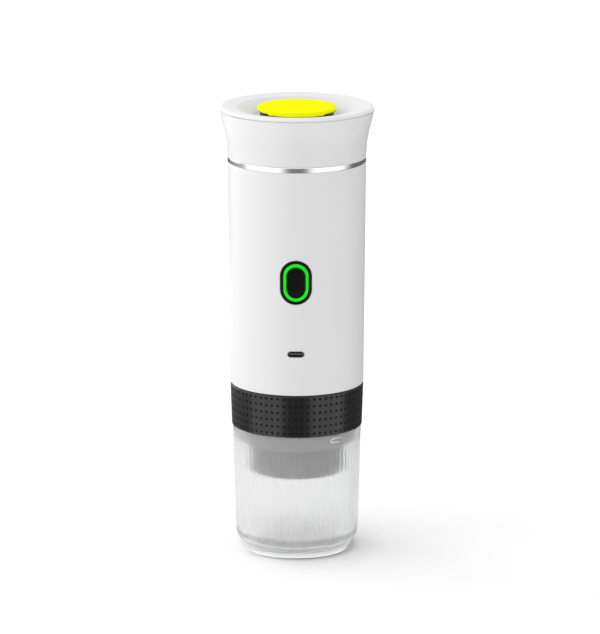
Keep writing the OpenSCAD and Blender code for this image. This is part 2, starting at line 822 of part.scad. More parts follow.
module upper_deck() {
    rim_r = tank_ro - heater_inset;
    rim_t = 1.8;
    notch_w = button_w + 6 * flange_step;
    notch_y = -(body_ri(button_z) - 7);
    color([0.3, 0.3, 0.32]) difference() {
        union() {
            rod(body_ri(up_z0) - run, up_z0, up_z1);
            tube(rim_r, rim_r - rim_t, up_z1, heater_z0);
            board_rail(up_z0 - rail_h, up_z0);
        }
        translate([-notch_w / 2, notch_y - far, up_z0 - 1]) cube([notch_w, far, deck_t + heater_rim_h + 2]);
        at(inlet_at) rod(spigot_r + hose_t + hose_room, up_z0 - 1, up_z1 + 1);
        for (a = post_angles) at(polar(post_orbit, a)) rod(screw_r + fit, up_z0 - 1, up_z1 + 1);
        at(front_post) rod(screw_r + fit, up_z0 - 1, up_z1 + 1);
        for (a = neck_post_angles) at(polar(neck_post_orbit, a)) rod(screw_r + fit, up_z0 - 1, up_z1 + 1);
    }
}

pillar_r = 2.6;
pillar_y = gear_c + pillar_r;
head_screw_angles = [30, 150, 270];
head_screw_depth = 8;
deck_screw_depth = 8;
pump_screw_z1 = pump_z0 + pump_floor_t - 1.5;

module lower_deck() {
    color([0.3, 0.3, 0.32]) difference() {
        union() {
            rod(body_ri(head_z1) - run, head_z1, low_z1);
            for (a = post_angles) at(polar(post_orbit, a)) rod(post_r, head_z1, up_z0);
            at(front_post) rod(post_r, head_z1, up_z0);
            at(polar(post_orbit, 270)) rod(post_r, head_z1, low_z1 + head_screw_depth - 1);
            for (y = [-1, 1]) at([0, y * pillar_y]) rod(pillar_r, head_z1, pump_z0);
            board_rail(low_z1, low_z1 + rail_h);
        }
        at(outlet_at) rod(spigot_r + run, head_z1 - 1, low_z1 + 1);
        for (a = head_screw_angles) {
            at(polar(post_orbit, a)) rod(screw_r + fit, head_z1 - 1, head_z1 + head_screw_depth);
        }
        for (a = post_angles) {
            at(polar(post_orbit, a)) rod(screw_r + fit, up_z0 - deck_screw_depth, up_z0 + 1);
        }
        at(front_post) rod(screw_r + fit, up_z0 - deck_screw_depth, up_z0 + 1);
        for (y = [-1, 1]) at([0, y * pillar_y]) {
            rod(screw_r + fit, head_z1 - 1, pump_z0 + 1);
            rod(screw_head_r + fit, head_z1 - 1, head_z1 + screw_head_h + fit);
        }
    }
}

cell_angles = [90, 210, 330];

module cell(i) {
    button_end_h = 0.8;
    can_h = cell_h - button_end_h;
    color([0.2, 0.45, 0.7]) at(polar(cell_orbit, cell_angles[i])) union() {
        rod(cell_d / 2, cell_z0, cell_z0 + can_h);
        rod(cell_d / 6, cell_z0 + can_h, cell_z1);
    }
}

module battery_cell_rear() {
    cell(0);
}

module battery_cell_left() {
    cell(1);
}

module battery_cell_right() {
    cell(2);
}

// A welded strip between two cells, or a pad on one
module strip(i, k, z) {
    w = 5;
    from = polar(cell_orbit, cell_angles[i]);
    to = polar(cell_orbit, cell_angles[k]);
    run_to = to - from;
    translate([from[0], from[1], z]) rotate(atan2(run_to[1], run_to[0]))
        translate([-w / 2, -w / 2, 0]) cube([norm(run_to) + w, w, tab_t]);
}

module cell_tabs() {
    color([0.75, 0.75, 0.7]) {
        strip(2, 0, low_z1);
        strip(0, 1, cell_z1);
        strip(1, 1, low_z1);
        strip(2, 2, cell_z1);
    }
}

shaft_r = 1;
shaft_in = 10;
nose_r = 3;

module pump_motor() {
    end_cap_h = 2;
    end_cap_step = 1.5;
    color([0.72, 0.72, 0.74]) at([0, -gear_c]) difference() {
        union() {
            rod(motor_d / 2, motor_z0, motor_z0 + motor_h - end_cap_h);
            rod(motor_d / 2 - end_cap_step, motor_z0 + motor_h - end_cap_h, motor_z0 + motor_h);
            rod(nose_r, motor_z0 - pump_cover_t / 2, motor_z0 + 1);
        }
        rod(shaft_r + bore_gap, motor_z0 - pump_cover_t, motor_z0 + shaft_in + 2);
    }
}

module gear(z_low, z_high) {
    rod(shaft_r, z_low, z_high);
    translate([0, 0, gear_z0]) linear_extrude(gear_t) gear_outline();
}

module drive_gear() {
    color([0.85, 0.82, 0.7]) at([0, -gear_c]) union() {
        gear(gear_z0 - shaft_end, motor_z0 + shaft_in);
    }
}

module driven_gear() {
    color([0.85, 0.82, 0.7]) at([0, gear_c]) rotate(180 / gear_teeth * (gear_teeth % 2 + 1)) union() {
        gear(gear_z0 - shaft_end, pump_z1 + pump_cover_t / 2);
    }
}

module pump_outline(r) {
    for (y = [-1, 1]) translate([0, y * gear_c]) circle(r);
    square([2 * r, 2 * gear_c], center = true);
}

gear_room_r = gear_c + gear_addendum * gear_pitch_d / gear_teeth + 2 * fit;
pump_wall = 2;
pump_r = gear_room_r + pump_wall;
arm_r = spigot_r + hose_t;
arm_w = 1.8 * arm_r;
port_z = gear_z0 + gear_t / 2;
port_d = 0.8 * water_bore_d;

// The two arms that carry the pump's spigots
module pump_arms() {
    for (p = [inlet_at, outlet_at]) {
        translate(p) circle(arm_r);
        rotate(atan2(p[1], p[0])) translate([0, -arm_w / 2]) square([norm(p), arm_w]);
    }
}

module pump_body() {
    color([0.25, 0.25, 0.27]) difference() {
        union() {
            translate([0, 0, pump_z0]) linear_extrude(pump_z1 - pump_z0) {
                pump_outline(pump_r);
                pump_arms();
            }
            at(inlet_at) rod(spigot_r, pump_z1 - 1, pump_z1 + inlet_spigot_l);
            at(outlet_at) rod(spigot_r, pump_z0 - valve_spigot_l, pump_z0 + 1);
        }
        translate([0, 0, pump_z0 + pump_floor_t]) linear_extrude(pump_z1) {
            for (y = [-1, 1]) translate([0, y * gear_c]) circle(gear_room_r);
        }
        for (y = [-1, 1]) at([0, y * gear_c]) rod(shaft_r + bore_gap, gear_z0 - shaft_end - fit, gear_z0 + 1);
        for (y = [-1, 1]) at([0, y * pillar_y]) rod(screw_r + fit, pump_z0 - 1, pump_screw_z1 + 0.5);
        at(inlet_at) rod(water_bore_d / 2, port_z - port_d, pump_z1 + inlet_spigot_l + 1);
        at(outlet_at) rod(water_bore_d / 2, pump_z0 - valve_spigot_l - 1, port_z + port_d);
        for (p = [inlet_at, outlet_at]) {
            translate([0, 0, port_z]) rotate(atan2(p[1], p[0])) rotate([0, 90, 0])
                cylinder(d = port_d, h = norm(p));
        }
    }
}

module pump_cover() {
    color([0.3, 0.3, 0.32]) difference() {
        translate([0, 0, pump_z1]) linear_extrude(pump_cover_t) pump_outline(pump_r);
        at([0, -gear_c]) rod(nose_r + fit, motor_z0 - pump_cover_t / 2 - fit, motor_z0 + 1);
        at([0, -gear_c]) rod(shaft_r + bore_gap, pump_z1 - 1, motor_z0 + 1);
        at([0, gear_c]) rod(shaft_r + bore_gap, pump_z1 - 1, pump_z1 + pump_cover_t / 2 + fit);
        at(inlet_at) rod(arm_r + fit, pump_z1 - 1, motor_z0 + 1);
    }
}

module inlet_hose() {
    color([0.9, 0.88, 0.84]) at(inlet_at)
        tube(spigot_r + fit + hose_t, spigot_r + fit, pump_z1 + fit, heater_z0 + heater_t / 2);
}

// Check valve, from its lower socket up
valve_r = 4.8;
valve_z0 = low_z1 + touch;
valve_z1 = pump_z0 - touch;
valve_socket_h = 5;
spring_z0 = valve_z0 + valve_socket_h + 1;
valve_bore_r = 1.2;
valve_chamber_r = ball_d / 2 + run;
valve_seat_h = 3;
valve_top_socket_h = valve_spigot_l + touch;
valve_seat_z = valve_z1 - valve_top_socket_h - valve_seat_h;
valve_seat_r = 1.5;
ball_z = valve_seat_z - sqrt(pow(ball_d / 2, 2) - pow(valve_seat_r, 2)) - touch;

module valve_body() {
    color([0.85, 0.85, 0.86]) at(outlet_at) difference() {
        rod(valve_r, valve_z0, valve_z1);
        rod(spigot_r + fit, valve_z0 - 1, valve_z0 + valve_socket_h);
        rod(valve_bore_r, valve_z0, valve_z1);
        rod(valve_chamber_r, spring_z0, valve_seat_z);
        rod(valve_seat_r, spring_z0, valve_z1);
        rod(spigot_r + fit, valve_z1 - valve_top_socket_h, valve_z1 + 1);
    }
}

module valve_ball() {
    color([0.8, 0.8, 0.82]) at(outlet_at) translate([0, 0, ball_z]) sphere(d = ball_d);
}

module valve_spring() {
    wire_d = 0.5;
    color([0.7, 0.7, 0.72]) at(outlet_at)
        coil(ball_d / 2 - 0.4, wire_d, spring_z0 + touch, ball_z - ball_d / 2 + 0.28, 3);
}

module brew_head() {
    lip_r = body_r(body_z0) - body_wall / 2 - fit;
    lip_h = 1.2;
    head_r = body_ri(body_z0) - fit;
    screw_land_r = 2 * screw_head_r;
    screen_seat_w = 2;
    color([0.22, 0.22, 0.24]) difference() {
        union() {
            turned([
                [0, boss_z0], [boss_r, boss_z0], [boss_r, body_z0], [lip_r, body_z0],
                [lip_r, body_z0 + lip_h], [head_r, body_z0 + lip_h], [head_r, head_z1], [0, head_z1]
            ]);
            ridges(boss_r - embed, boss_r + ridge_h, boss_thread_z, male_span[0], male_span[1]);
            at(outlet_at) rod(spigot_r, head_z1 - 1, valve_z0 + valve_socket_h - touch);
        }
        tube(flange_r, groove_ri, boss_z0 - 1, gasket_z1);
        rod(screen_r + fit, boss_z0 - 1, boss_z0 + screen_t + fit);
        tube(screen_r - screen_seat_w, screw_land_r, boss_z0 - 1, boss_z0 + screen_t + shower_gap);
        rod(screw_r + fit, boss_z0 - 1, boss_z0 + shower_screw_l + 2);
        at(outlet_at) rod(water_bore_d / 2, boss_z0, valve_z0 + valve_socket_h + 1);
        for (a = head_screw_angles) at(polar(post_orbit, a)) {
            rod(screw_r + fit, body_z0 - 1, head_z1 + 1);
            rod(screw_head_r + fit, body_z0 - 1, body_z0 + screw_head_h + fit);
        }
    }
}

module shower_screen() {
    z0 = boss_z0;
    color([0.76, 0.77, 0.79]) difference() {
        rod(screen_r, z0, z0 + screen_t);
        rod(screw_r + fit, z0 - 1, z0 + screen_t + 1);
        hole_pattern(z0 - 1, z0 + screen_t + 1);
    }
}

module shower_screw() {
    color([0.7, 0.7, 0.72]) screw(boss_z0, shower_screw_l);
}

module brew_gasket() {
    color([0.75, 0.74, 0.72]) tube(flange_r - fit, groove_ri + fit, gasket_z0, gasket_z1);
}

module filter_basket() {
    z1 = flange_z1;
    z0 = z1 - basket_depth;
    color([0.78, 0.79, 0.81]) difference() {
        turned([
            [0, z0], [basket_ro, z0], [basket_ro, z1 - basket_t], [flange_r, z1 - basket_t], [flange_r, z1],
            [basket_ro - basket_t, z1], [basket_ro - basket_t, z0 + basket_t], [0, z0 + basket_t]
        ]);
        hole_pattern(z0 - 1, z0 + basket_t + 1);
    }
}

module holder() {
    outlet_r = outlet_d / 2;
    floor_z = chamber_z0 + chamber_floor_t;
    ro = chamber_d / 2;
    seal_groove_r = collar_ro - cup_seal_d + run;
    seal_groove_h = cup_seal_d + 2 * fit;
    rib_t = 1;
    color([0.25, 0.25, 0.27]) difference() {
        union() {
            turned(concat(
                [
                    [skirt_ri, skirt_top], [skirt_ri, web_z1], [chamber_ri, web_z1], [chamber_ri, floor_z],
                    [outlet_r, floor_z], [outlet_r, chamber_z0]
                ],
                arc([ro - chamber_edge_r, chamber_z0 + chamber_edge_r], chamber_edge_r, -90, 0, 6),
                [
                    [ro, grip_z0], [collar_ro - collar_t, grip_z0], [collar_ro - collar_t, collar_z0],
                    [collar_ro, collar_z0], [collar_ro, grip_z0], [skirt_ro, grip_z0], [skirt_ro, skirt_top]
                ]
            ));
            ridges(
                skirt_ri + embed, skirt_ri - ridge_h, boss_thread_z + thread_offset,
                lug_span[0], lug_span[1]
            );
            around(outlet_ribs) translate([0, -rib_t / 2, chamber_z0])
                cube([outlet_r + rib_t / 2, rib_t, chamber_floor_t]);
        }
        around(lug_count, lug_azimuth) {
            translate([keyway_x, -lug_w / 2 - run, collar_z0 - 1])
                cube([lug_w, lug_w + 2 * run, lug_z + lug_h / 2 + run - collar_z0 + 1]);
        }
        tube(collar_ro + 1, seal_groove_r, cup_seal_z - seal_groove_h / 2, cup_seal_z + seal_groove_h / 2);
    }
}

module grip_sleeve() {
    r0 = grip_d / 2;
    r1 = body_r(body_z0);
    ri = skirt_ro + fit;
    color([0.12, 0.12, 0.13]) turned([
        [ri, grip_z0], [r0 - grip_bevel, grip_z0], [r0, grip_z0 + grip_bevel], [r1, grip_z1 - grip_bevel],
        [r1 - grip_bevel, grip_z1], [ri, grip_z1]
    ]);
}

module cup_seal() {
    section_r = cup_seal_d / 2;
    color([0.5, 0.5, 0.5]) rotate_extrude()
        translate([cup_ri(cup_seal_z) - fit - section_r, cup_seal_z]) circle(section_r, $fn = 32);
}

module cup_lugs() {
    z = lug_z;
    intersection() {
        turned([
            [cup_ri(z) - lug_t, z - lug_h], [cup_ri(z) + cup_wall / 2, z - lug_h],
            [cup_ri(z) + cup_wall / 2, z + lug_h], [cup_ri(z) - lug_t, z + lug_h]
        ]);
        around(lug_count, lug_azimuth) translate([0, 0, z]) rotate([90, 0, 90])
            linear_extrude(far) pill(lug_w, lug_h);
    }
}

// Shallow grooves that lean with the wall
module flutes() {
    z0 = flute_start;
    z1 = cup_h - lip_band_h;
    lean = atan2(cup_r(z1) - cup_r(z0), z1 - z0);
    cutter_r = (pow(flute_w / 2, 2) + pow(flute_depth, 2)) / (2 * flute_depth);
    around(flute_count, 180 / flute_count) translate([cup_r(z0) - flute_depth + cutter_r, 0, z0])
        rotate([0, lean, 0]) cylinder(r = cutter_r, h = z1 - z0);
}

module cup() {
    bend_x = cup_foot_d / 2 - cup_bend_r;
    bend_end = [bend_x, cup_slope_h] + polar(cup_bend_r, -cup_slope_a);
    foot_r = bend_end[0] - bend_end[1] * tan(cup_slope_a);
    floor_z = cup_hollow_h + cup_floor_t;
    inner_r = cup_ri(floor_z + cup_inner_r);
    draft = 0.4;
    color([0.9, 0.92, 0.93, 0.5]) difference() {
        union() {
            turned(concat(
                [
                    [0, cup_hollow_h], [foot_r - cup_foot_w - draft, cup_hollow_h],
                    [foot_r - cup_foot_w, 0], [foot_r, 0]
                ],
                arc([bend_x, cup_slope_h], cup_bend_r, -cup_slope_a, 0, 6),
                [[cup_lip_d / 2, cup_h], [cup_ri(cup_h), cup_h]],
                arc([inner_r - cup_inner_r, floor_z + cup_inner_r], cup_inner_r, 0, -90, 6),
                [[0, floor_z]]
            ));
            cup_lugs();
        }
        flutes();
    }
}

module neck_screws() {
    color([0.6, 0.6, 0.62]) for (a = neck_post_angles) {
        at(polar(neck_post_orbit, a)) screw(up_z0, deck_t + neck_screw_depth);
    }
}

module deck_screws() {
    spots = concat([for (a = post_angles) polar(post_orbit, a)], [front_post]);
    color([0.6, 0.6, 0.62]) for (p = spots) at(p) translate([0, 0, up_z1]) rotate([180, 0, 0])
        screw(0, deck_t + deck_screw_depth - 2);
}

module head_screws() {
    color([0.6, 0.6, 0.62]) for (a = head_screw_angles) {
        at(polar(post_orbit, a)) screw(body_z0 + screw_head_h + fit, head_flange_t + head_screw_depth / 2);
    }
}

module pump_screws() {
    z = head_z1 + screw_head_h + fit;
    color([0.6, 0.6, 0.62]) for (y = [-1, 1]) at([0, y * pillar_y]) screw(z, pump_screw_z1 - z);
}

vent_cap();
vent_plug();
vent_seal();
tank_lid();
lid_liner();
lid_gasket();
trim_ring();
body_shell();
button_bezel();
light_ring();
button_cap();
switch_plunger();
tact_switch();
light_emitters();
usb_socket();
usb_tongue();
usb_board();
control_board();
tank_neck();
tank_seal();
water_tank();
heater_plate();
thermal_cutout();
upper_deck();
lower_deck();
battery_cell_rear();
battery_cell_left();
battery_cell_right();
cell_tabs();
pump_motor();
drive_gear();
driven_gear();
pump_body();
pump_cover();
inlet_hose();
valve_body();
valve_ball();
valve_spring();
brew_head();
shower_screen();
shower_screw();
brew_gasket();
filter_basket();
holder();
grip_sleeve();
cup_seal();
cup();
neck_screws();
deck_screws();
head_screws();
pump_screws();
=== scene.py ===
"""Portable espresso maker: skins, finishes and a small studio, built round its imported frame."""
import math

import bmesh
import bpy
import numpy as np
from bpy.props import FloatProperty, FloatVectorProperty, IntProperty, PointerProperty
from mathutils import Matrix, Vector


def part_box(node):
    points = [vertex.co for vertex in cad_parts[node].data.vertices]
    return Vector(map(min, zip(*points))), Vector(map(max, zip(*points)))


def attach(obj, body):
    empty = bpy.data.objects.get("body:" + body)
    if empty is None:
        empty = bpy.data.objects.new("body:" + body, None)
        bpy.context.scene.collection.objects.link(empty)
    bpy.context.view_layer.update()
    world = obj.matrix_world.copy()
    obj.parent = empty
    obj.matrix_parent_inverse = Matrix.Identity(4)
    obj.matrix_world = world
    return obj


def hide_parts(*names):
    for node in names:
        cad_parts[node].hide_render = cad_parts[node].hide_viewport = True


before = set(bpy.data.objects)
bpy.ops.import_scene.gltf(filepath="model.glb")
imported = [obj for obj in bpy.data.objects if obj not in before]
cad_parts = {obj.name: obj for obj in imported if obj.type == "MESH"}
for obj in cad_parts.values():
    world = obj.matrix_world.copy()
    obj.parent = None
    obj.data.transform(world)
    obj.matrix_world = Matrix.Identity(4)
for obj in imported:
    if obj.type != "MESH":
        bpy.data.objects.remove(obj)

bl_info = {
    "name": "Portable Espresso Maker",
    "version": (1, 0, 0),
    "blender": (4, 5, 0),
    "location": "3D View > Sidebar > Espresso Maker",
    "description": "Builds the outside, the finishes and the studio of a portable espresso maker",
    "category": "Object",
}

TAU = math.tau
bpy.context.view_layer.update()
NOISE_SPAN = (0.3, 0.7)


def foot_of(node):
    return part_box(node)[0].z


def top_of(node):
    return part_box(node)[1].z


def reach_of(node):
    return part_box(node)[1].x


# Levels and radii that the frame gives
LID_Z0 = top_of("trim_ring") + 0.00006
RIM_Z = top_of("tank_lid")
RIM_R = reach_of("tank_lid")
RING_Z0 = foot_of("trim_ring")
RING_Z1 = top_of("trim_ring")
RING_R = reach_of("trim_ring")
BODY_Z0 = foot_of("body_shell")
BODY_Z1 = top_of("body_shell")
BODY_TOP_R = reach_of("body_shell")
CAP_Z0 = top_of("vent_plug")
CAP_Z1 = top_of("vent_cap")
CAP_R = reach_of("vent_cap")
LIP_Z0 = foot_of("vent_cap")
BUTTON_Z = (foot_of("button_bezel") + top_of("button_bezel")) / 2
SOCKET_Z = (foot_of("usb_socket") + top_of("usb_socket")) / 2
GRIP_Z0 = foot_of("grip_sleeve")
GRIP_Z1 = top_of("grip_sleeve")
GRIP_TOP_R = reach_of("grip_sleeve")
CUP_H = top_of("cup")
CUP_LIP_R = reach_of("cup")


# Kinds of settings

def size(label, words, value, low=0.0):
    return FloatProperty(name=label, description=words, default=value, min=low, unit="LENGTH", precision=5)


def amount(label, words, value, low=0.0):
    return FloatProperty(name=label, description=words, default=value, min=low)


def whole(label, words, value, low):
    return IntProperty(name=label, description=words, default=value, min=low)


def bearing(label, words, degrees):
    return FloatProperty(name=label, description=words, default=math.radians(degrees), subtype="ANGLE")


def share(label, words, value):
    return FloatProperty(name=label, description=words, default=value, min=0.0, max=1.0, subtype="FACTOR")


def paint(label, words, value):
    return FloatVectorProperty(
        name=label, description=words, default=value, size=3, min=0.0, max=1.0, subtype="COLOR"
    )


class ShellSizes(bpy.types.PropertyGroup):
    """White body sleeve and lid"""

    bottom_radius: size("Lower Radius", "Radius of the body at its lower edge", 0.03585)
    wall: size("Wall", "Thickness of the body's wall", 0.002)
    edge: size("Edge", "Rounding of the body's edges", 0.0003)
    rim_width: size("Rim Width", "Width of the lid's rim", 0.0095)
    rim_rise: size("Rim Rise", "How far the rim's outer edge stands above the frame's flat rim", 0.0012)
    foot_spread: size("Foot Spread", "How far the lid's foot widens up to the flare", 0.0005)
    flare_start: size("Flare Start", "Height of the plain foot below the flare", 0.0065)
    dish_depth: size("Dish Depth", "Depth of the dish in the lid", 0.0054)
    fill_radius: size("Filling Hole", "Radius of the lid's filling hole", 0.0155)
    white: paint("White", "Colour of the body and of the lid's foot", (0.87, 0.87, 0.875))
    # The flare's paler white is painted light, standing in for light thrown up from below onto the flare.
    flare_painted_light: paint("Lid White", "Colour of the lid's flare", (0.91, 0.91, 0.915))
    yellow: paint("Cap", "Colour of the vent cap", (1.0, 0.985, 0.006))


class ButtonSizes(bpy.types.PropertyGroup):
    """Push button with its lit ring, and the charging socket"""

    width: size("Width", "Width of the surround", 0.0168)
    height: size("Height", "Height of the surround", 0.0238)
    bezel: size("Surround", "Visible width of the surround", 0.0018)
    light: size("Light Ring", "Width of the lit ring", 0.00135)
    proud: size("Proud", "How far the surround stands out of the body", 0.00035)
    gap: size("Gap", "Gap between button and ring", 0.0003)
    glow: amount("Glow", "Strength of the lit ring", 1.0)
    drop: size("Drop", "How far ring and button sit below the surround's middle", 0.0002)
    green: paint("Light", "Colour of the lit ring", (0.008, 0.79, 0.01))
    socket_width: size("Socket Width", "Width of the charging socket's opening in the body", 0.00914)
    socket_height: size("Socket Height", "Height of the charging socket's opening in the body", 0.0034)


class GripSizes(bpy.types.PropertyGroup):
    """Black band with rows of dimples"""

    columns: whole("Columns", "Dimples round the band", 68, 12)
    rows: whole("Rows", "Rows of dimples", 6, 1)
    pitch: size("Row Pitch", "Height of one row", 0.00379)
    first: size("First Row", "Height of the lowest row's middle above the band's lower edge", 0.0019)
    radius: size("Dimple Radius", "Radius of a dimple", 0.00071)
    depth: size("Dimple Depth", "Depth of a dimple", 0.0012)
    bottom_radius: size("Lower Radius", "Radius of the band at its lower edge", 0.0351)
    inner_radius: size("Inner Radius", "Radius of the band's bore", 0.0324)
    bevel: size("Bevel", "Bevel of the band's edges", 0.0005)
    black: paint("Black", "Colour of the rubber", (0.014, 0.014, 0.0145))


class CupSizes(bpy.types.PropertyGroup):
    """Translucent fluted cup"""

    foot_radius: size("Foot Radius", "Radius where the wall meets the sloped foot", 0.03295)
    wall: size("Wall", "Thickness of the wall", 0.0019)
    slope_height: size("Slope Height", "Height of the sloped foot", 0.0105)
    slope: bearing("Slope", "Lean of the foot from upright", 30)
    bend: size("Bend", "Radius of the bend between wall and slope", 0.008)
    hollow: size("Hollow", "Depth of the hollow under the floor", 0.0024)
    floor: size("Floor", "Thickness of the floor", 0.0028)
    bowl: size("Bowl", "Radius between floor and wall inside", 0.0053)
    flutes: whole("Flutes", "Flutes round the cup", 72, 12)
    flute_depth: size("Flute Depth", "Depth of a flute", 0.0004)
    flute_width: size("Flute Width", "Width of a flute", 0.0025)
    flute_start: size("Flute Start", "Lower end of the flutes", 0.0065)
    lip_band: size("Lip Band", "Height of the plain lip", 0.008)
    lugs: whole("Lugs", "Key lugs inside the lip", 3, 0)
    lug_turn: bearing("Lug Turn", "Angle of the first lug from the front", 39)
    lug_width: size("Lug Width", "Width of a lug", 0.009)
    lug_height: size("Lug Height", "Height of a lug", 0.003)
    lug_drop: size("Lug Drop", "Middle of a lug below the lip", 0.0043)
    lug_rise: size("Lug Rise", "How far a lug stands out of the wall", 0.0008)
    clearness: share("Clearness", "Share of the light that passes through the wall", 0.84)
    bowl_clearness: share("Bowl Clearness", "Share of the light that passes through the bowl's curve", 0.5)
    lip_haze: share("Lip Haze", "How much less light passes through the plain lip", 0.04)
    milk: paint("Milk", "Colour of the cup's haze", (0.985, 0.986, 0.988))
    # The bowl, the wall round it, the floor seen from above and the foot are greyer than the milk. This is
    # painted shade for the light lost in the thick floor and its curve, and it leaves the foot's milky
    # bottom edge as a painted highlight.
    bowl_painted_shade: paint("Bowl Colour", "Colour of the bowl's curve", (0.55, 0.55, 0.555))
    belt_painted_shade: paint("Belt", "Colour of the wall outside the bowl's curve", (0.86, 0.86, 0.865))
    bottom: paint("Bottom", "Colour of the floor seen from above", (0.6, 0.6, 0.605))
    foot: paint("Foot", "Colour of the foot below the floor", (0.9, 0.9, 0.905))


class StudioSizes(bpy.types.PropertyGroup):
    """Floor, lamps and camera"""

    ambient: amount("Ambient", "Strength of the even light", 0.76)
    key: amount("Key", "Power of the lamp on the left, in watts", 6.0)
    top: amount("Top", "Power of the lamp above, in watts", 2.8)
    rim: amount("Rim", "Power of the lamp behind on the left, in watts", 7.7)
    camera_side: size("Camera Side", "Camera to the right of the axis", 0.00167, -1.0)
    camera_turn: bearing("Camera Turn", "Camera turned round the axis by this", 0.77)
    camera_distance: size("Camera Distance", "Camera in front of the axis", 2.3)
    camera_height: size("Camera Height", "Camera above the floor", 0.6625)
    camera_tilt: bearing("Camera Tilt", "Camera looks down by this", 13.11)
    lens: amount("Lens", "Focal length, in millimetres", 249.2, 1.0)


def body_radius(z):
    low = bpy.context.scene.maker_shell.bottom_radius
    return low + (BODY_TOP_R - low) * (z - BODY_Z0) / (BODY_Z1 - BODY_Z0)


# Outlines

def eased(t):
    """A share between zero and one, with soft ends"""
    return t * t * (3 - 2 * t)


def arc(r, z, radius, start, end, count):
    """Points of an arc about a middle, as (radius, height)"""
    return [(r + radius * math.cos(a), z + radius * math.sin(a)) for a in np.linspace(start, end, count)]


def at_angle(angle, r, z):
    """A point at this angle from the front towards the right"""
    return r * math.sin(angle), -r * math.cos(angle), z


def rounded(points, closed=True, steps=5):
    """Points (radius, height, corner radius) as an outline with round, well supported corners"""
    out = []
    last = len(points) - 1
    for i, (r, z, corner) in enumerate(points):
        here = Vector((r, z))
        if corner <= 0 or (not closed and i in (0, last)):
            out.append(here)
            continue
        a = Vector(points[i - 1][:2]) - here
        b = Vector(points[(i + 1) % (last + 1)][:2]) - here
        half = a.angle(b) / 2
        room = min(a.length, b.length)
        a.normalize()
        b.normalize()
        reach = corner / math.tan(half)
        centre = here + (a + b).normalized() * (corner / math.sin(half))
        first = here + a * reach - centre
        second = here + b * reach - centre
        start = math.atan2(first.y, first.x)
        sweep = (math.atan2(second.y, second.x) - start + math.pi) % TAU - math.pi
        if reach * 1.6 < room / 2:
            out.append(here + a * reach * 1.6)
        for k in range(steps + 1):
            t = start + sweep * k / steps
            out.append(centre + Vector((math.cos(t), math.sin(t))) * corner)
        if reach * 1.6 < room / 2:
            out.append(here + b * reach * 1.6)
    return out


def slot_points(width, height, count):
    """Points round an upright slot with round ends, as (across, up)"""
    r = width / 2
    straight = height - width
    total = 2 * straight + TAU * r
    out = []
    for k in range(count):
        d = (k + 0.5) / count * total
        if d < straight:
            out.append((r, d - straight / 2))
        elif d < straight + math.pi * r:
            a = (d - straight) / r
            out.append((r * math.cos(a), straight / 2 + r * math.sin(a)))
        elif d < 2 * straight + math.pi * r:
            out.append((-r, straight / 2 - (d - straight - math.pi * r)))
        else:
            a = (d - 2 * straight - math.pi * r) / r
            out.append((-r * math.cos(a), -straight / 2 - r * math.sin(a)))
    return out


# Meshes

def make_object(name, bm):
    mesh = bpy.data.meshes.new(name)
    bm.to_mesh(mesh)
    bm.free()
    obj = bpy.data.objects.new(name, mesh)
    bpy.context.scene.collection.objects.link(obj)
    return obj


def outward_object(name, bm):
    """An object whose faces are all turned outwards"""
    bmesh.ops.recalc_face_normals(bm, faces=bm.faces)
    return make_object(name, bm)


def skin(bm, lower, upper, wrap=True):
    """Faces between two rings, either of which may be a single point"""
    n = max(len(lower), len(upper))
    for i in range(n if wrap else n - 1):
        k = (i + 1) % n
        if len(lower) == 1:
            bm.faces.new((lower[0], upper[k], upper[i]))
        elif len(upper) == 1:
            bm.faces.new((lower[i], lower[k], upper[0]))
        else:
            bm.faces.new((lower[i], lower[k], upper[k], upper[i]))


def around(r, z, count, start=0.0, sweep=TAU):
    """Points on a circle, counted from the front towards the right"""
    steps = count if sweep >= TAU else count - 1
    return [at_angle(start + sweep * i / steps, r, z) for i in range(count)]


def turn(bm, outline, columns, closed=True):
    """Turns an outline of radius and height about the upright axis"""
    rings = []
    for r, z in outline:
        if r < 1e-7:
            rings.append([bm.verts.new((0, 0, z))])
        else:
            rings.append([bm.verts.new(p) for p in around(r, z, columns)])
    for lower, upper in zip(rings, rings[1:]):
        skin(bm, lower, upper)
    if closed:
        skin(bm, rings[-1], rings[0])


def turn_part(bm, outline, columns, start, sweep):
    """Turns a closed outline through part of a circle and closes its ends"""
    rings = [[bm.verts.new(p) for p in around(r, z, columns, start, sweep)] for r, z in outline]
    for lower, upper in zip(rings, rings[1:] + rings[:1]):
        skin(bm, lower, upper, wrap=False)
    bm.faces.new([ring[0] for ring in rings])
    bm.faces.new([ring[-1] for ring in reversed(rings)])


def turned(name, outline, columns):
    """A turned piece with a closed outline"""
    bm = bmesh.new()
    turn(bm, outline, columns)
    return outward_object(name, bm)


def on_front(across, up, out):
    """A point on the body's front, given across and up, this far out of its surface"""
    r = body_radius(up) + out
    return Vector((across, -math.sqrt(r * r - across * across), up))


def slot_piece(name, loops, centre_z, ring):
    """A ring or a filled plate on the front, from slots of (width, height, out of the surface)"""
    bm = bmesh.new()
    count = 112
    made = [
        [bm.verts.new(on_front(x, centre_z + z, out)) for x, z in slot_points(w, h, count)]
        for w, h, out in loops
    ]
    for lower, upper in zip(made, made[1:]):
        skin(bm, lower, upper)
    if ring:
        skin(bm, made[-1], made[0])
    else:
        for loop in (made[0], made[-1]):
            middle = bm.verts.new(sum((v.co for v in loop), Vector()) / len(loop))
            skin(bm, loop, [middle])
    return outward_object(name, bm)


def smooth_copy(node, name):
    """A copy of a frame node with its doubles merged and its curved faces smooth"""
    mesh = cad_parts[node].data.copy()
    mesh.name = name
    bm = bmesh.new()
    bm.from_mesh(mesh)
    bmesh.ops.remove_doubles(bm, verts=bm.verts, dist=1e-6)
    bm.to_mesh(mesh)
    bm.free()
    if "custom_normal" in mesh.attributes:
        mesh.attributes.remove(mesh.attributes["custom_normal"])
    mesh.shade_smooth()
    mesh.set_sharp_from_angle(angle=math.radians(32))
    obj = bpy.data.objects.new(name, mesh)
    bpy.context.scene.collection.objects.link(obj)
    return obj


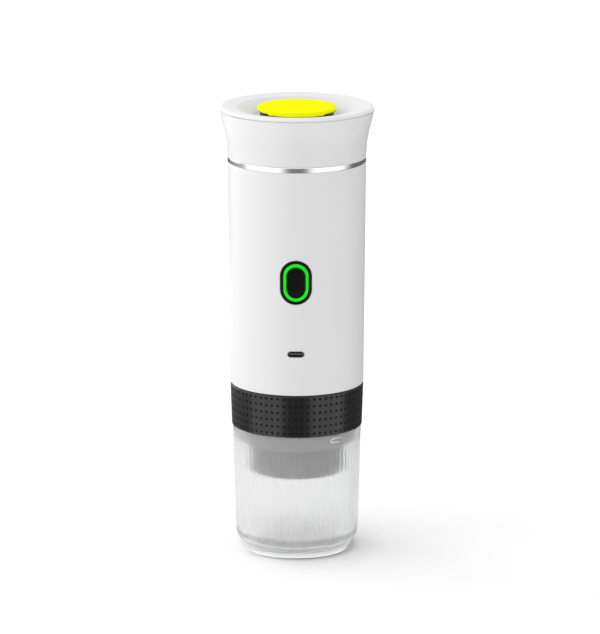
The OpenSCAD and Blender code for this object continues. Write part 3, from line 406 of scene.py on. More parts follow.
def mark(obj, name, values):
    """A number for every vertex, under a name"""
    obj.data.attributes.new(name, "FLOAT", "POINT").data.foreach_set("value", values)


def settle(obj, body, slot, look, *nodes, smooth=True):
    """Gives a finished piece its finish and its body, and hides the nodes that it stands for; its slot is
    not used
    """
    obj.data.materials.clear()
    obj.data.materials.append(bpy.data.materials[look])
    if smooth:
        obj.data.shade_smooth()
    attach(obj, body)
    if nodes:
        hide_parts(*nodes)
    return obj


# Finishes

def plug(value, socket):
    """Links an output to a socket, or sets a plain value on it"""
    if isinstance(value, bpy.types.NodeSocket):
        socket.id_data.links.new(value, socket)
    else:
        socket.default_value = value


def fill(node, **sockets):
    """Links or sets a node's sockets, named with underscores for spaces"""
    for name, value in sockets.items():
        plug(value, node.inputs[name.replace("_", " ")])


def start_material(name):
    material = bpy.data.materials.new(name)
    material.use_nodes = True
    tree = material.node_tree
    return material, tree, tree.nodes["Principled BSDF"]


def noise(tree, scale, detail=2.0, stretch=None):
    """Noise on the piece's own coordinates"""
    where = tree.nodes.new("ShaderNodeTexCoord").outputs["Object"]
    if stretch:
        mapping = tree.nodes.new("ShaderNodeMapping")
        fill(mapping, Vector=where, Scale=stretch)
        where = mapping.outputs["Vector"]
    node = tree.nodes.new("ShaderNodeTexNoise")
    fill(node, Vector=where, Scale=scale, Detail=detail)
    return node.outputs["Fac"]


def ramp(tree, factor, low, high, ends=(0.35, 0.65)):
    """Two colours by a factor"""
    node = tree.nodes.new("ShaderNodeValToRGB")
    for element, place, colour in zip(node.color_ramp.elements, ends, (low, high)):
        element.position = place
        element.color = (*colour, 1.0)
    fill(node, Fac=factor)
    return node.outputs["Color"]


def relief(tree, shader, height, depth):
    """Bumps of this depth in the shader's surface"""
    node = tree.nodes.new("ShaderNodeBump")
    fill(node, Distance=depth, Strength=1.0, Height=height)
    fill(shader, Normal=node.outputs["Normal"])


def finish(
    name, colour, rough, tint=0.02, patch=45.0, grain=2600.0, depth=4e-6, vary=0.05, stretch=None, **sockets
):
    """A finish whose colour drifts in soft patches and whose gloss and relief have a fine grain"""
    material, tree, shader = start_material(name)
    dark = [c * (1 - tint) for c in colour]
    pale = [min(1.0, c * (1 + tint)) for c in colour]
    fine = noise(tree, grain, 2.0, stretch)
    fill(
        shader, Base_Color=ramp(tree, noise(tree, patch, 3.0), dark, pale),
        Roughness=between(tree, fine, *NOISE_SPAN, max(0.0, rough - vary), rough + vary), **sockets,
    )
    relief(tree, shader, fine, depth)
    return material


def zoned(name, rough, value_of, *stops, **sockets):
    """A finish whose colour goes by a value of the place, from stops of (value, colour)"""
    material = finish(name, stops[0][1], rough, grain=3200, depth=2e-6, vary=0.03, **sockets)
    tree = material.node_tree
    fill(tree.nodes["Principled BSDF"], Base_Color=stepped(tree, value_of(tree), stops))
    return material


def lit_ring_finish(colour, glow):
    """A diffuser lit from behind, whose glow drifts a little in soft patches"""
    material, tree, shader = start_material("lit_green_ring")
    drift = noise(tree, 260.0, 2.0)
    pale = [min(1.0, c * 1.05 + 0.004) for c in colour]
    dark = [c * 0.93 for c in colour]
    fill(
        shader, Base_Color=(0.002, 0.03, 0.002, 1.0), Specular_IOR_Level=0.12,
        Roughness=between(tree, drift, *NOISE_SPAN, 0.28, 0.4),
        Emission_Color=ramp(tree, drift, dark, pale), Emission_Strength=glow,
    )
    return material


def along(tree, axis):
    """The piece's own X, Y or Z"""
    split = tree.nodes.new("ShaderNodeSeparateXYZ")
    plug(tree.nodes.new("ShaderNodeTexCoord").outputs["Object"], split.inputs[0])
    return split.outputs[axis]


def off_axis(tree):
    """Distance from the upright axis"""
    squares = [calc(tree, "POWER", calc(tree, "ABSOLUTE", along(tree, axis)), 2.0) for axis in "XY"]
    return calc(tree, "SQRT", calc(tree, "ADD", *squares))


def calc(tree, operation, *values):
    """One step of arithmetic on sockets or numbers"""
    node = tree.nodes.new("ShaderNodeMath")
    node.operation = operation
    for socket, value in zip(node.inputs, values):
        plug(value, socket)
    return node.outputs[0]


def between(tree, value, low, high, start=0.0, end=1.0):
    """A number that goes from start to end while the value goes from low to high"""
    node = tree.nodes.new("ShaderNodeMapRange")
    fill(node, Value=value, From_Min=low, From_Max=high, To_Min=start, To_Max=end)
    return node.outputs["Result"]


def stepped(tree, value, stops):
    """A colour by a value, from stops of (value, colour)"""
    last = stops[-1][0]
    node = tree.nodes.new("ShaderNodeValToRGB")
    elements = node.color_ramp.elements
    while len(elements) < len(stops):
        elements.new(0.5)
    for element, (place, colour) in zip(elements, stops):
        element.position = place / last
        element.color = (*colour, 1.0)
    fill(node, Fac=between(tree, value, 0.0, last))
    return node.outputs["Color"]


def blend(tree, kind, factor, first, second):
    """Two colours mixed by a factor"""
    node = tree.nodes.new("ShaderNodeMix")
    node.data_type = "RGBA"
    node.blend_type = kind
    for index, value in ((0, factor), (6, first), (7, second)):
        plug(value, node.inputs[index])
    return node.outputs[2]


def rubber_finish(grip):
    """Satin rubber that is matt down in its dimples, where a slightly paler black is painted light that
    lifts their shade
    """
    material = finish("dimpled_rubber", grip.black, 0.22, tint=0.15, patch=90, depth=2e-6, vary=0.03)
    tree = material.node_tree
    shader = tree.nodes["Principled BSDF"]
    black, gloss = [shader.inputs[name].links[0].from_socket for name in ("Base Color", "Roughness")]
    top = GRIP_Z1 - grip.bevel
    surface = between(tree, along(tree, "Z"), GRIP_Z0, top, grip.bottom_radius, GRIP_TOP_R)
    sunk = between(tree, calc(tree, "SUBTRACT", surface, off_axis(tree)), 0.00003, 0.00008)
    # The paler black down in the dimples is painted light; their higher roughness is the matt finish.
    fill(
        shader, Base_Color=blend(tree, "MIX", sunk, black, (0.018, 0.018, 0.0185, 1.0)),
        Roughness=calc(tree, "ADD", gloss, calc(tree, "MULTIPLY", sunk, 0.7)),
    )
    return material


def cup_finish(cup):
    """Milky see-through plastic: frosted wall, painted shade that greys the bowl, the wall round it and the
    floor, a paler foot, and a painted highlight along the foot's bottom edge
    """
    material, tree, shader = start_material("milky_cup")
    floor = cup.hollow + cup.floor
    top = floor + cup.bowl
    height = along(tree, "Z")
    inner_r = cup.foot_radius - cup.wall
    outer = between(tree, off_axis(tree), inner_r + 0.0002, inner_r + 0.0004)
    from_within = tree.nodes.new("ShaderNodeNewGeometry").outputs["Backfacing"]

    def layers(plain, belt_painted_shade, curve, flat, below):
        """By height, with their own values for the outside round the bowl, for the bowl's curve seen from
        within the plastic, for the floor seen from above and for the foot; as colours, these are painted
        shade, and the plain value kept at the bottom edge is a painted highlight
        """
        # The plain colour kept on the bottom 0.6 mm is a painted highlight along the foot's edge.
        under = [(0.0, plain), (0.0006, plain), (0.0011, below), (floor - 0.0006, below)]
        ends = [(top + 0.0003, plain), (top + 0.004, plain)]
        # Outside round the bowl, on its curve seen from within the plastic, and on the floor seen from
        # above, the colour is painted shade.
        outside = under + [(floor, belt_painted_shade), (top - 0.0003, belt_painted_shade)] + ends
        within = under + [(floor, plain), (floor + 0.0003, curve), (top - 0.0003, curve)] + ends
        above = under + [(floor - 0.0003, flat), (floor + 0.0003, flat), (floor + 0.004, plain)] + ends
        sides = [stepped(tree, height, stops) for stops in (above, within)]
        inside = blend(tree, "MIX", from_within, *sides)
        return blend(tree, "MIX", outer, inside, stepped(tree, height, outside))

    patches = ramp(tree, noise(tree, 60.0, 3.0), (0.985, 0.985, 0.985), (1.0, 1.0, 1.0))
    colours = layers(cup.milk, cup.belt_painted_shade, cup.bowl_painted_shade, cup.bottom, cup.foot)
    lip_z = CUP_H - cup.lip_band
    lip = between(tree, height, lip_z - 0.0005, lip_z + 0.0005, 0.0, cup.lip_haze)
    wall = [cup.clearness] * 3
    clear = layers(wall, wall, [cup.bowl_clearness] * 3, wall, wall)
    frost = between(tree, height, floor + 0.002, top + 0.001, 0.29, 0.38)
    grain = between(tree, noise(tree, 1400.0, 2.0), *NOISE_SPAN, 0.0, 0.06)
    fill(
        shader, Base_Color=blend(tree, "MULTIPLY", 1.0, colours, patches), IOR=1.15,
        Transmission_Weight=calc(tree, "SUBTRACT", clear, lip), Roughness=calc(tree, "ADD", frost, grain),
    )
    return material


def banded_finish(name, colour, stripe, rough):
    """Film or sheet with faint bands up the piece"""
    material, tree, shader = start_material(name)
    bands = noise(tree, 900.0, 2.0, (0.05, 0.05, 1.0))
    fill(
        shader, Base_Color=ramp(tree, bands, colour, stripe),
        Roughness=between(tree, bands, *NOISE_SPAN, rough - 0.06, rough + 0.06),
    )
    relief(tree, shader, bands, 3e-6)
    return material


# Geometry nodes

class Wires:
    """Adds nodes to one tree"""

    def __init__(self, name, inputs):
        self.tree = bpy.data.node_groups.new(name, "GeometryNodeTree")
        face = self.tree.interface
        face.new_socket("Geometry", in_out="INPUT", socket_type="NodeSocketGeometry")
        for label, kind in inputs:
            face.new_socket(label, in_out="INPUT", socket_type="NodeSocket" + kind)
        face.new_socket("Geometry", in_out="OUTPUT", socket_type="NodeSocketGeometry")
        self.inputs = self.tree.nodes.new("NodeGroupInput").outputs
        self.output = self.tree.nodes.new("NodeGroupOutput")

    def node(self, kind, values, **settings):
        """A node with its named or numbered inputs filled"""
        node = self.tree.nodes.new(kind)
        for key, value in settings.items():
            setattr(node, key, value)
        for key, value in values.items():
            plug(value, node.inputs[key])
        return node

    def math(self, operation, *values):
        return calc(self.tree, operation, *values)

    def place(self):
        here = self.node("GeometryNodeInputPosition", {}).outputs[0]
        return self.node("ShaderNodeSeparateXYZ", {0: here}).outputs

    def vector(self, x, y, z):
        return self.node("ShaderNodeCombineXYZ", {0: x, 1: y, 2: z}).outputs[0]

    def end(self, geometry):
        """Realises instances, sets the material and closes the tree"""
        parts = self.node("GeometryNodeRealizeInstances", {"Geometry": geometry}).outputs[0]
        material = self.inputs["Material"]
        done = self.node("GeometryNodeSetMaterial", {"Geometry": parts, "Material": material})
        plug(done.outputs[0], self.output.inputs[0])
        return self


def realise(obj, wires, values):
    """Runs the tree on an object and leaves the result as its plain mesh"""
    modifier = obj.modifiers.new(wires.tree.name, "NODES")
    modifier.node_group = wires.tree
    for item in wires.tree.interface.items_tree:
        if item.in_out == "INPUT" and item.name in values:
            modifier[item.identifier] = values[item.name]
    bpy.context.view_layer.update()
    result = obj.evaluated_get(bpy.context.evaluated_depsgraph_get())
    mesh = bpy.data.meshes.new_from_object(result)
    obj.modifiers.clear()
    obj.data = mesh


def dimple_tree():
    """Rows of cells, wrapped round a tapered band"""
    w = Wires("dimple_rows", [
        ("Columns", "Int"), ("Rows", "Int"), ("Turn", "Float"), ("Pitch", "Float"), ("Bottom", "Float"),
        ("Top", "Float"), ("Bottom Radius", "Float"), ("Top Radius", "Float"), ("Depth", "Float"),
        ("Material", "Material"),
    ])
    cols, rows = w.inputs["Columns"], w.inputs["Rows"]
    grid = w.node("GeometryNodeMeshGrid", {
        "Vertices X": cols, "Vertices Y": rows,
        "Size X": w.math("SUBTRACT", cols, 1.0), "Size Y": w.math("SUBTRACT", rows, 1.0),
    })
    cells = w.node("GeometryNodeInstanceOnPoints", {
        "Points": grid.outputs["Mesh"], "Instance": w.inputs["Geometry"],
    })
    sheet = w.node("GeometryNodeRealizeInstances", {"Geometry": cells.outputs[0]})
    x, y, z = w.place()
    angle = w.math("DIVIDE", w.math("MULTIPLY", w.math("ADD", x, w.inputs["Turn"]), TAU), cols)
    climb = w.math("MULTIPLY", w.math("ADD", y, w.math("MULTIPLY", rows, 0.5)), w.inputs["Pitch"])
    height = w.math("MINIMUM", w.math("ADD", climb, w.inputs["Bottom"]), w.inputs["Top"])
    part = w.node("ShaderNodeMapRange", {
        "Value": height, "From Min": w.inputs["Bottom"], "From Max": w.inputs["Top"],
        "To Min": w.inputs["Bottom Radius"], "To Max": w.inputs["Top Radius"],
    }).outputs["Result"]
    radius = w.math("ADD", part, w.math("MULTIPLY", z, w.inputs["Depth"]))
    wrapped = w.vector(
        w.math("MULTIPLY", radius, w.math("SINE", angle)),
        w.math("MULTIPLY", radius, w.math("MULTIPLY", w.math("COSINE", angle), -1.0)),
        height,
    )
    bent = w.node("GeometryNodeSetPosition", {"Geometry": sheet.outputs[0], "Position": wrapped})
    closed = w.node("GeometryNodeMergeByDistance", {"Geometry": bent.outputs[0], "Distance": 2e-6})
    return w.end(closed.outputs[0])


def flute_tree():
    """Grooves up the wall, where the mesh's outer_wall attribute allows them"""
    w = Wires("flutes", [
        ("Count", "Int"), ("Depth", "Float"), ("Width", "Float"), ("Material", "Material"),
    ])
    x, y, z = w.place()
    angle = w.math("ARCTAN2", x, w.math("MULTIPLY", y, -1.0))
    turns = w.math("MULTIPLY", angle, w.math("DIVIDE", w.inputs["Count"], TAU))
    off = w.math("ABSOLUTE", w.math("SUBTRACT", w.math("FRACT", turns), 0.5))
    radius = w.math("SQRT", w.math("ADD", w.math("MULTIPLY", x, x), w.math("MULTIPLY", y, y)))
    pitch = w.math("DIVIDE", w.math("MULTIPLY", radius, TAU), w.inputs["Count"])
    near = w.math("DIVIDE", w.math("MULTIPLY", off, pitch), w.math("MULTIPLY", w.inputs["Width"], 0.5))
    hollow = w.math("MAXIMUM", w.math("SUBTRACT", 1.0, w.math("MULTIPLY", near, near)), 0.0)
    allowed = w.node("GeometryNodeInputNamedAttribute", {"Name": "outer_wall"}, data_type="FLOAT")
    cut = w.math("MULTIPLY", w.math("MULTIPLY", hollow, allowed.outputs[0]), w.inputs["Depth"])
    part = w.math("DIVIDE", cut, w.math("MAXIMUM", radius, 1e-6))
    inward = w.vector(
        w.math("MULTIPLY", w.math("MULTIPLY", x, part), -1.0),
        w.math("MULTIPLY", w.math("MULTIPLY", y, part), -1.0),
        0.0,
    )
    moved = w.node("GeometryNodeSetPosition", {"Geometry": w.inputs["Geometry"], "Offset": inward})
    return w.end(moved.outputs[0])


def contact_tree():
    """A row of contacts on the socket's tongue"""
    w = Wires("contact_row", [("Count", "Int"), ("Pitch", "Float"), ("Material", "Material")])
    count, pitch = w.inputs["Count"], w.inputs["Pitch"]
    line = w.node("GeometryNodeMeshLine", {"Count": count, "Offset": w.vector(pitch, 0.0, 0.0)})
    half = w.math("MULTIPLY", w.math("SUBTRACT", count, 1.0), w.math("MULTIPLY", pitch, -0.5))
    middle = w.node("GeometryNodeSetPosition", {
        "Geometry": line.outputs[0], "Offset": w.vector(half, 0.0, 0.0),
    })
    row = w.node("GeometryNodeInstanceOnPoints", {
        "Points": middle.outputs[0], "Instance": w.inputs["Geometry"],
    })
    return w.end(row.outputs[0])


# Operators

class MAKER_OT_lid(bpy.types.Operator):
    """Build the flared lid with its dished top"""

    bl_idname = "maker.lid"
    bl_label = "Lid"

    def execute(self, context):
        shell = context.scene.maker_shell
        wall = 0.0022
        edge = 0.0019
        rim_z = RIM_Z + shell.rim_rise
        edge_z = rim_z - 0.0013
        slope = shell.foot_spread / shell.flare_start
        flare = RIM_R - BODY_TOP_R - slope * (edge_z - LID_Z0)

        def soft(z):
            plain = LID_Z0 + shell.flare_start
            return eased(max(0.0, (z - plain) / (rim_z - plain)))

        def radius(z):
            return BODY_TOP_R + slope * (z - LID_Z0) + flare * soft(z) / soft(edge_z)

        dish_r = RIM_R - shell.rim_width
        seat_z = RIM_Z - shell.dish_depth
        seat_r = CAP_R + 0.0012
        hole = shell.fill_radius
        rise = np.linspace(LID_Z0 + 0.0012, rim_z - 0.0022, 30)
        fall = np.linspace(RIM_Z - wall, LID_Z0 + 0.0012, 24)
        outline = rounded(
            [
                (radius(LID_Z0) - wall, LID_Z0, 0.0002), (radius(LID_Z0), LID_Z0, 0.00025),
                *[(radius(z), z, 0) for z in rise], (RIM_R, rim_z, edge),
                (dish_r, RIM_Z - 0.0003, 0.0016), (seat_r, seat_z, 0.0009), (hole, seat_z, 0.0004),
                (hole, seat_z - wall, 0.0003), (seat_r, seat_z - wall, 0), (dish_r, RIM_Z - wall, 0),
                *[(radius(z) - wall, z, 0) for z in fall],
            ],
            steps=7,
        )
        lid = turned("lid_shell", outline, 216)
        settle(lid, "lid", "white_shell", "lid_satin_painted_shading", "tank_lid")
        return {"FINISHED"}


class MAKER_OT_vent(bpy.types.Operator):
    """Build the soft vent cap and the plug under it"""

    bl_idname = "maker.vent"
    bl_label = "Vent Cap"

    def execute(self, context):
        bm = bmesh.new()
        crown = 0.00012
        clear = 0.00002
        turn(bm, rounded(
            [(0, CAP_Z0, 0), (CAP_R, CAP_Z0, 0.0002), (CAP_R, CAP_Z1 - crown, 0.0008), (0, CAP_Z1, 0)],
            closed=False, steps=8,
        ), 168, closed=False)
        outer, inner, top = CAP_R - clear, CAP_R - 0.0011, CAP_Z0 + 0.0003
        lip = rounded([
            (inner, LIP_Z0, 0.0002), (outer, LIP_Z0, 0.0003), (outer, top, 0), (inner, top, 0),
        ], steps=3)
        half = math.radians(45)
        turn_part(bm, lip, 48, -half, 2 * half)
        cap = outward_object("soft_cap", bm)
        settle(cap, "vent", "yellow_silicone", "yellow_painted_glow", "vent_cap")
        bm = bmesh.new()
        outer, inner, top = CAP_R - 0.0003, CAP_R - 0.0018, CAP_Z0 - clear
        flange = rounded([
            (inner, LIP_Z0, 0.0001), (outer, LIP_Z0, 0.0002), (outer, top, 0), (inner, top, 0),
        ], steps=3)
        notch = math.radians(46.5)
        turn_part(bm, flange, 120, notch, TAU - 2 * notch)
        settle(outward_object("plug_flange", bm), "vent", "black_plastic", "black_moulding")
        below = smooth_copy("vent_plug", "plug_skin")
        settle(below, "vent", "black_plastic", "black_moulding", "vent_plug", smooth=False)
        return {"FINISHED"}


class MAKER_OT_trim_ring(bpy.types.Operator):
    """Build the polished ring between body and lid"""

    bl_idname = "maker.trim_ring"
    bl_label = "Trim Ring"

    def execute(self, context):
        inner = RING_R - 0.0018
        edge = 0.0003
        ring = turned("polished_band", rounded([
            (inner, RING_Z0, 0), (RING_R, RING_Z0, edge), (RING_R, RING_Z1, edge), (inner, RING_Z1, 0),
        ]), 216)
        settle(ring, "pump_unit", "polished_ring", "ring_polish", "trim_ring")
        return {"FINISHED"}


class MAKER_OT_body(bpy.types.Operator):
    """Build the tapered sleeve with its two openings"""

    bl_idname = "maker.body"
    bl_label = "Body"

    columns = 240
    socket_reach = 0.0042
    button_reach = 0.0159

    def rows(self, edge):
        """Heights of the rows, and how far each is drawn in by the rounded ends"""
        band = 0.001
        levels = [
            BODY_Z0 + edge, BODY_Z0 + band, SOCKET_Z - self.socket_reach, SOCKET_Z + self.socket_reach,
            BUTTON_Z - self.button_reach, BUTTON_Z + self.button_reach, BODY_Z1 - band, BODY_Z1 - edge,
        ]
        lift = [0.0, 0.13, 0.37, 0.7, 1.0]
        drawn = [edge * (1 - math.sqrt(1 - (1 - t) ** 2)) for t in lift]
        rows = [(BODY_Z0 + edge * t, draw) for t, draw in zip(lift, drawn)]
        for start, end, count in zip(levels, levels[1:], (1, 4, 8, 4, 28, 8, 1)):
            rows += [(start + (end - start) * k / count, 0.0) for k in range(1, count + 1)]
        rows += [(BODY_Z1 - edge * t, draw) for t, draw in list(zip(lift, drawn))[-2::-1]]
        return rows

    def execute(self, context):
        shell = context.scene.maker_shell
        button = context.scene.maker_button
        step = TAU / self.columns
        windows = [
            (SOCKET_Z, 7, button.socket_height, button.socket_width, self.socket_reach),
            (BUTTON_Z, 13, button.height, button.width, self.button_reach),
        ]
        rows = self.rows(shell.edge)
        bm = bmesh.new()
        sheets = []
        for depth in (0.0, shell.wall):
            grid = {}
            for j, (z, draw) in enumerate(rows):
                for i in range(self.columns):
                    if not self.inside(i, z, windows):
                        r = body_radius(z) - max(depth, draw)
                        grid[i, j] = bm.verts.new(at_angle(i * step, r, z))
            for j in range(len(rows) - 1):
                middle = (rows[j][0] + rows[j + 1][0]) / 2
                for i in range(self.columns):
                    k = (i + 1) % self.columns
                    if not self.inside(i + 0.5, middle, windows):
                        bm.faces.new((grid[i, j], grid[k, j], grid[k, j + 1], grid[i, j + 1]))
            sheets.append(grid)
        for j in (0, len(rows) - 1):
            skin(bm, *[[grid[i, j] for i in range(self.columns)] for grid in sheets])
        for window in windows:
            self.fill_window(bm, sheets, rows, window, shell)
        body = outward_object("body_sleeve", bm)
        settle(body, "pump_unit", "white_shell", "white_satin", "body_shell")
        return {"FINISHED"}

    def inside(self, column, z, windows):
        """Whether a grid point or face centre lies inside a window"""
        off = (column + self.columns / 2) % self.columns - self.columns / 2
        return any(
            abs(off) < cells - 1e-6 and abs(z - middle) < reach - 1e-7
            for middle, cells, high, wide, reach in windows
        )

    def fill_window(self, bm, sheets, rows, window, shell):
        """Rings from a window's border to its slot, on both sheets, and the slot's wall"""
        middle, cells, high, wide, reach = window
        js = [j for j, (z, draw) in enumerate(rows) if abs(z - middle) <= reach + 1e-7]
        low, top = js[0], js[-1]
        border = [(i, low) for i in range(-cells, cells)]
        border += [(cells, j) for j in range(low, top)]
        border += [(i, top) for i in range(cells, -cells, -1)]
        border += [(-cells, j) for j in range(top, low, -1)]
        step = TAU / self.columns
        r = body_radius(middle)
        flat = [Vector((r * math.sin(i * step), rows[j][0] - middle)) for i, j in border]
        edge = shell.edge
        slots = {}
        for depth, grid in zip((0.0, shell.wall), sheets):
            loop = [grid[i % self.columns, j] for i, j in border]
            aim = [self.to_slot(p, wide + 2 * edge, high + 2 * edge) for p in flat]
            for t in (0.35, 0.65, 0.85, 0.96, 1.0):
                ring = []
                for p, q in zip(flat, aim):
                    s = p.lerp(q, t)
                    ring.append(bm.verts.new(on_front(s.x, middle + s.y, -depth)))
                skin(bm, loop, ring)
                loop = ring
            slots[depth] = loop
        loop = slots[0.0]
        for t in (0.25, 0.5, 0.75, 1.0):
            grow = 2 * edge * (1 - math.sin(t * math.pi / 2))
            sink = edge * (1 - math.cos(t * math.pi / 2))
            ring = []
            for p in flat:
                s = self.to_slot(p, wide + grow, high + grow)
                ring.append(bm.verts.new(on_front(s.x, middle + s.y, -sink)))
            skin(bm, loop, ring)
            loop = ring
        skin(bm, loop, slots[shell.wall])

    @staticmethod
    def to_slot(p, wide, high):
        """The point of a slot in the direction of p"""
        lying = wide > high
        x, y = (p.y, p.x) if lying else (p.x, p.y)
        w, h = (high, wide) if lying else (wide, high)
        r = w / 2
        straight = (h - w) / 2
        t = r / max(abs(x), 1e-9)
        if abs(y * t) > straight:
            a = x * x + y * y
            b = -abs(y) * straight
            c = straight * straight - r * r
            t = (-b + math.sqrt(b * b - a * c)) / a
        return p * t


class MAKER_OT_button(bpy.types.Operator):
    """Build the button, its lit ring and its surround"""

    bl_idname = "maker.button"
    bl_label = "Button"

    def execute(self, context):
        b = context.scene.maker_button
        out = b.proud
        fit = 0.0001
        back = -context.scene.maker_shell.wall - 0.0011
        outer = (b.width - 2 * fit, b.height - 2 * fit)
        inner = (b.width - 2 * b.bezel + 2 * fit, b.height - 2 * b.bezel + 2 * fit)
        loops = self.ring(outer, inner, back, out, 0.00035)
        bezel = slot_piece("button_surround", loops, BUTTON_Z, True)
        settle(bezel, "pump_unit", "black_gloss", "black_satin", "button_bezel")
        outer = (b.width - 2 * b.bezel, b.height - 2 * b.bezel - 2 * b.drop)
        inner = (outer[0] - 2 * b.light, outer[1] - 2 * b.light + b.drop)
        loops = self.ring(outer, inner, back - 0.001, out + 0.0002, 0.0003)
        light = slot_piece("lit_ring", loops, BUTTON_Z - b.drop, True)
        settle(light, "pump_unit", "green_light", "lit_green_ring", "light_ring")
        w, h = inner[0] - 2 * b.gap, inner[1] - 2 * b.gap
        soft = 0.0005
        loops = [(w, h, -0.0045), (w, h, out - 2 * soft), *self.rounding(w, h, 1, out, soft, 0, 1)]
        dish = 0.0004
        for t in (0.15, 0.3, 0.5, 0.7, 0.85, 0.95):
            inset = t * (w / 2 - soft) * 0.98
            fall = dish * math.sin(t * math.pi / 2) ** 2
            loops.append((w - 2 * soft - 2 * inset, h - 2 * soft - 2 * inset, out - fall))
        cap = slot_piece("push_button", loops, BUTTON_Z - b.drop, False)
        settle(cap, "button", "black_gloss", "black_satin", "button_cap")
        return {"FINISHED"}

    def rounding(self, width, height, grow, top, soft, start, end):
        """Loops over a round edge, from its side to its face or back"""
        loops = []
        for k in range(5):
            t = (start + (end - start) * k / 4) * math.pi / 2
            inset = soft * (1 - math.cos(t)) * grow
            loops.append((width - 2 * inset, height - 2 * inset, top - soft * (1 - math.sin(t))))
        return loops

    def ring(self, outer, inner, back, top, soft):
        """Loops of a ring, up its outside, over its face and down its inside"""
        return [
            (*outer, back), (*outer, top - 2 * soft), *self.rounding(*outer, 1, top, soft, 0, 1),
            *self.rounding(*inner, -1, top, soft, 1, 0), (*inner, top - 2 * soft), (*inner, back),
        ]


class MAKER_OT_socket(bpy.types.Operator):
    """Build the charging socket's shell, tongue and contacts"""

    bl_idname = "maker.socket"
    bl_label = "Charging Socket"

    def execute(self, context):
        low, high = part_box("usb_socket")
        wide, tall = high.x - low.x, high.z - low.z
        mouth, back = low.y, high.y
        sheet, back_sheet = 0.0003, 0.0008
        bm = bmesh.new()

        def loop(w, h, y):
            points = slot_points(h, w, 64)
            return [bm.verts.new((up, y, SOCKET_Z + across)) for across, up in points]

        soft = 0.00008
        bore_w, bore_h = wide - 2 * sheet, tall - 2 * sheet
        rings = [
            loop(wide, tall, back), loop(wide, tall, mouth + soft), loop(wide - soft, tall - soft, mouth),
            loop(bore_w + soft, bore_h + soft, mouth), loop(bore_w, bore_h, mouth + soft),
            loop(bore_w, bore_h, back - back_sheet),
        ]
        for lower, upper in zip(rings, rings[1:]):
            skin(bm, lower, upper)
        bm.faces.new(rings[0])
        bm.faces.new(rings[-1])
        shell = outward_object("socket_shell", bm)
        settle(shell, "pump_unit", "steel_sheet", "socket_steel", "usb_socket")
        shell.data.set_sharp_from_angle(angle=math.radians(40))

        low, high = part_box("usb_tongue")
        set_back, bevel = 0.0006, 0.00012
        low.y = mouth + set_back
        bm = bmesh.new()
        bmesh.ops.create_cube(bm, size=1.0)
        for v in bm.verts:
            v.co = (low + high) / 2 + v.co * (high - low)
        bmesh.ops.bevel(bm, geom=bm.edges[:], offset=bevel, segments=2, affect="EDGES")
        tongue = make_object("socket_tongue", bm)
        settle(tongue, "pump_unit", "dark_plastic", "tongue_painted_shading", "usb_tongue", smooth=False)

        bm = bmesh.new()
        bmesh.ops.create_cube(bm, size=1.0)
        wide, deep, thick = 0.00026, 0.0034, 0.00005
        start = low.y + 0.0005
        for v in bm.verts:
            v.co = Vector((v.co.x * wide, start + (v.co.y + 0.5) * deep, low.z + v.co.z * thick))
        contacts = make_object("socket_contacts", bm)
        gold = bpy.data.materials["gold_contact"]
        realise(contacts, contact_tree(), {"Count": 12, "Pitch": 0.0005, "Material": gold})
        settle(contacts, "pump_unit", "steel_sheet", "gold_contact", smooth=False)
        return {"FINISHED"}


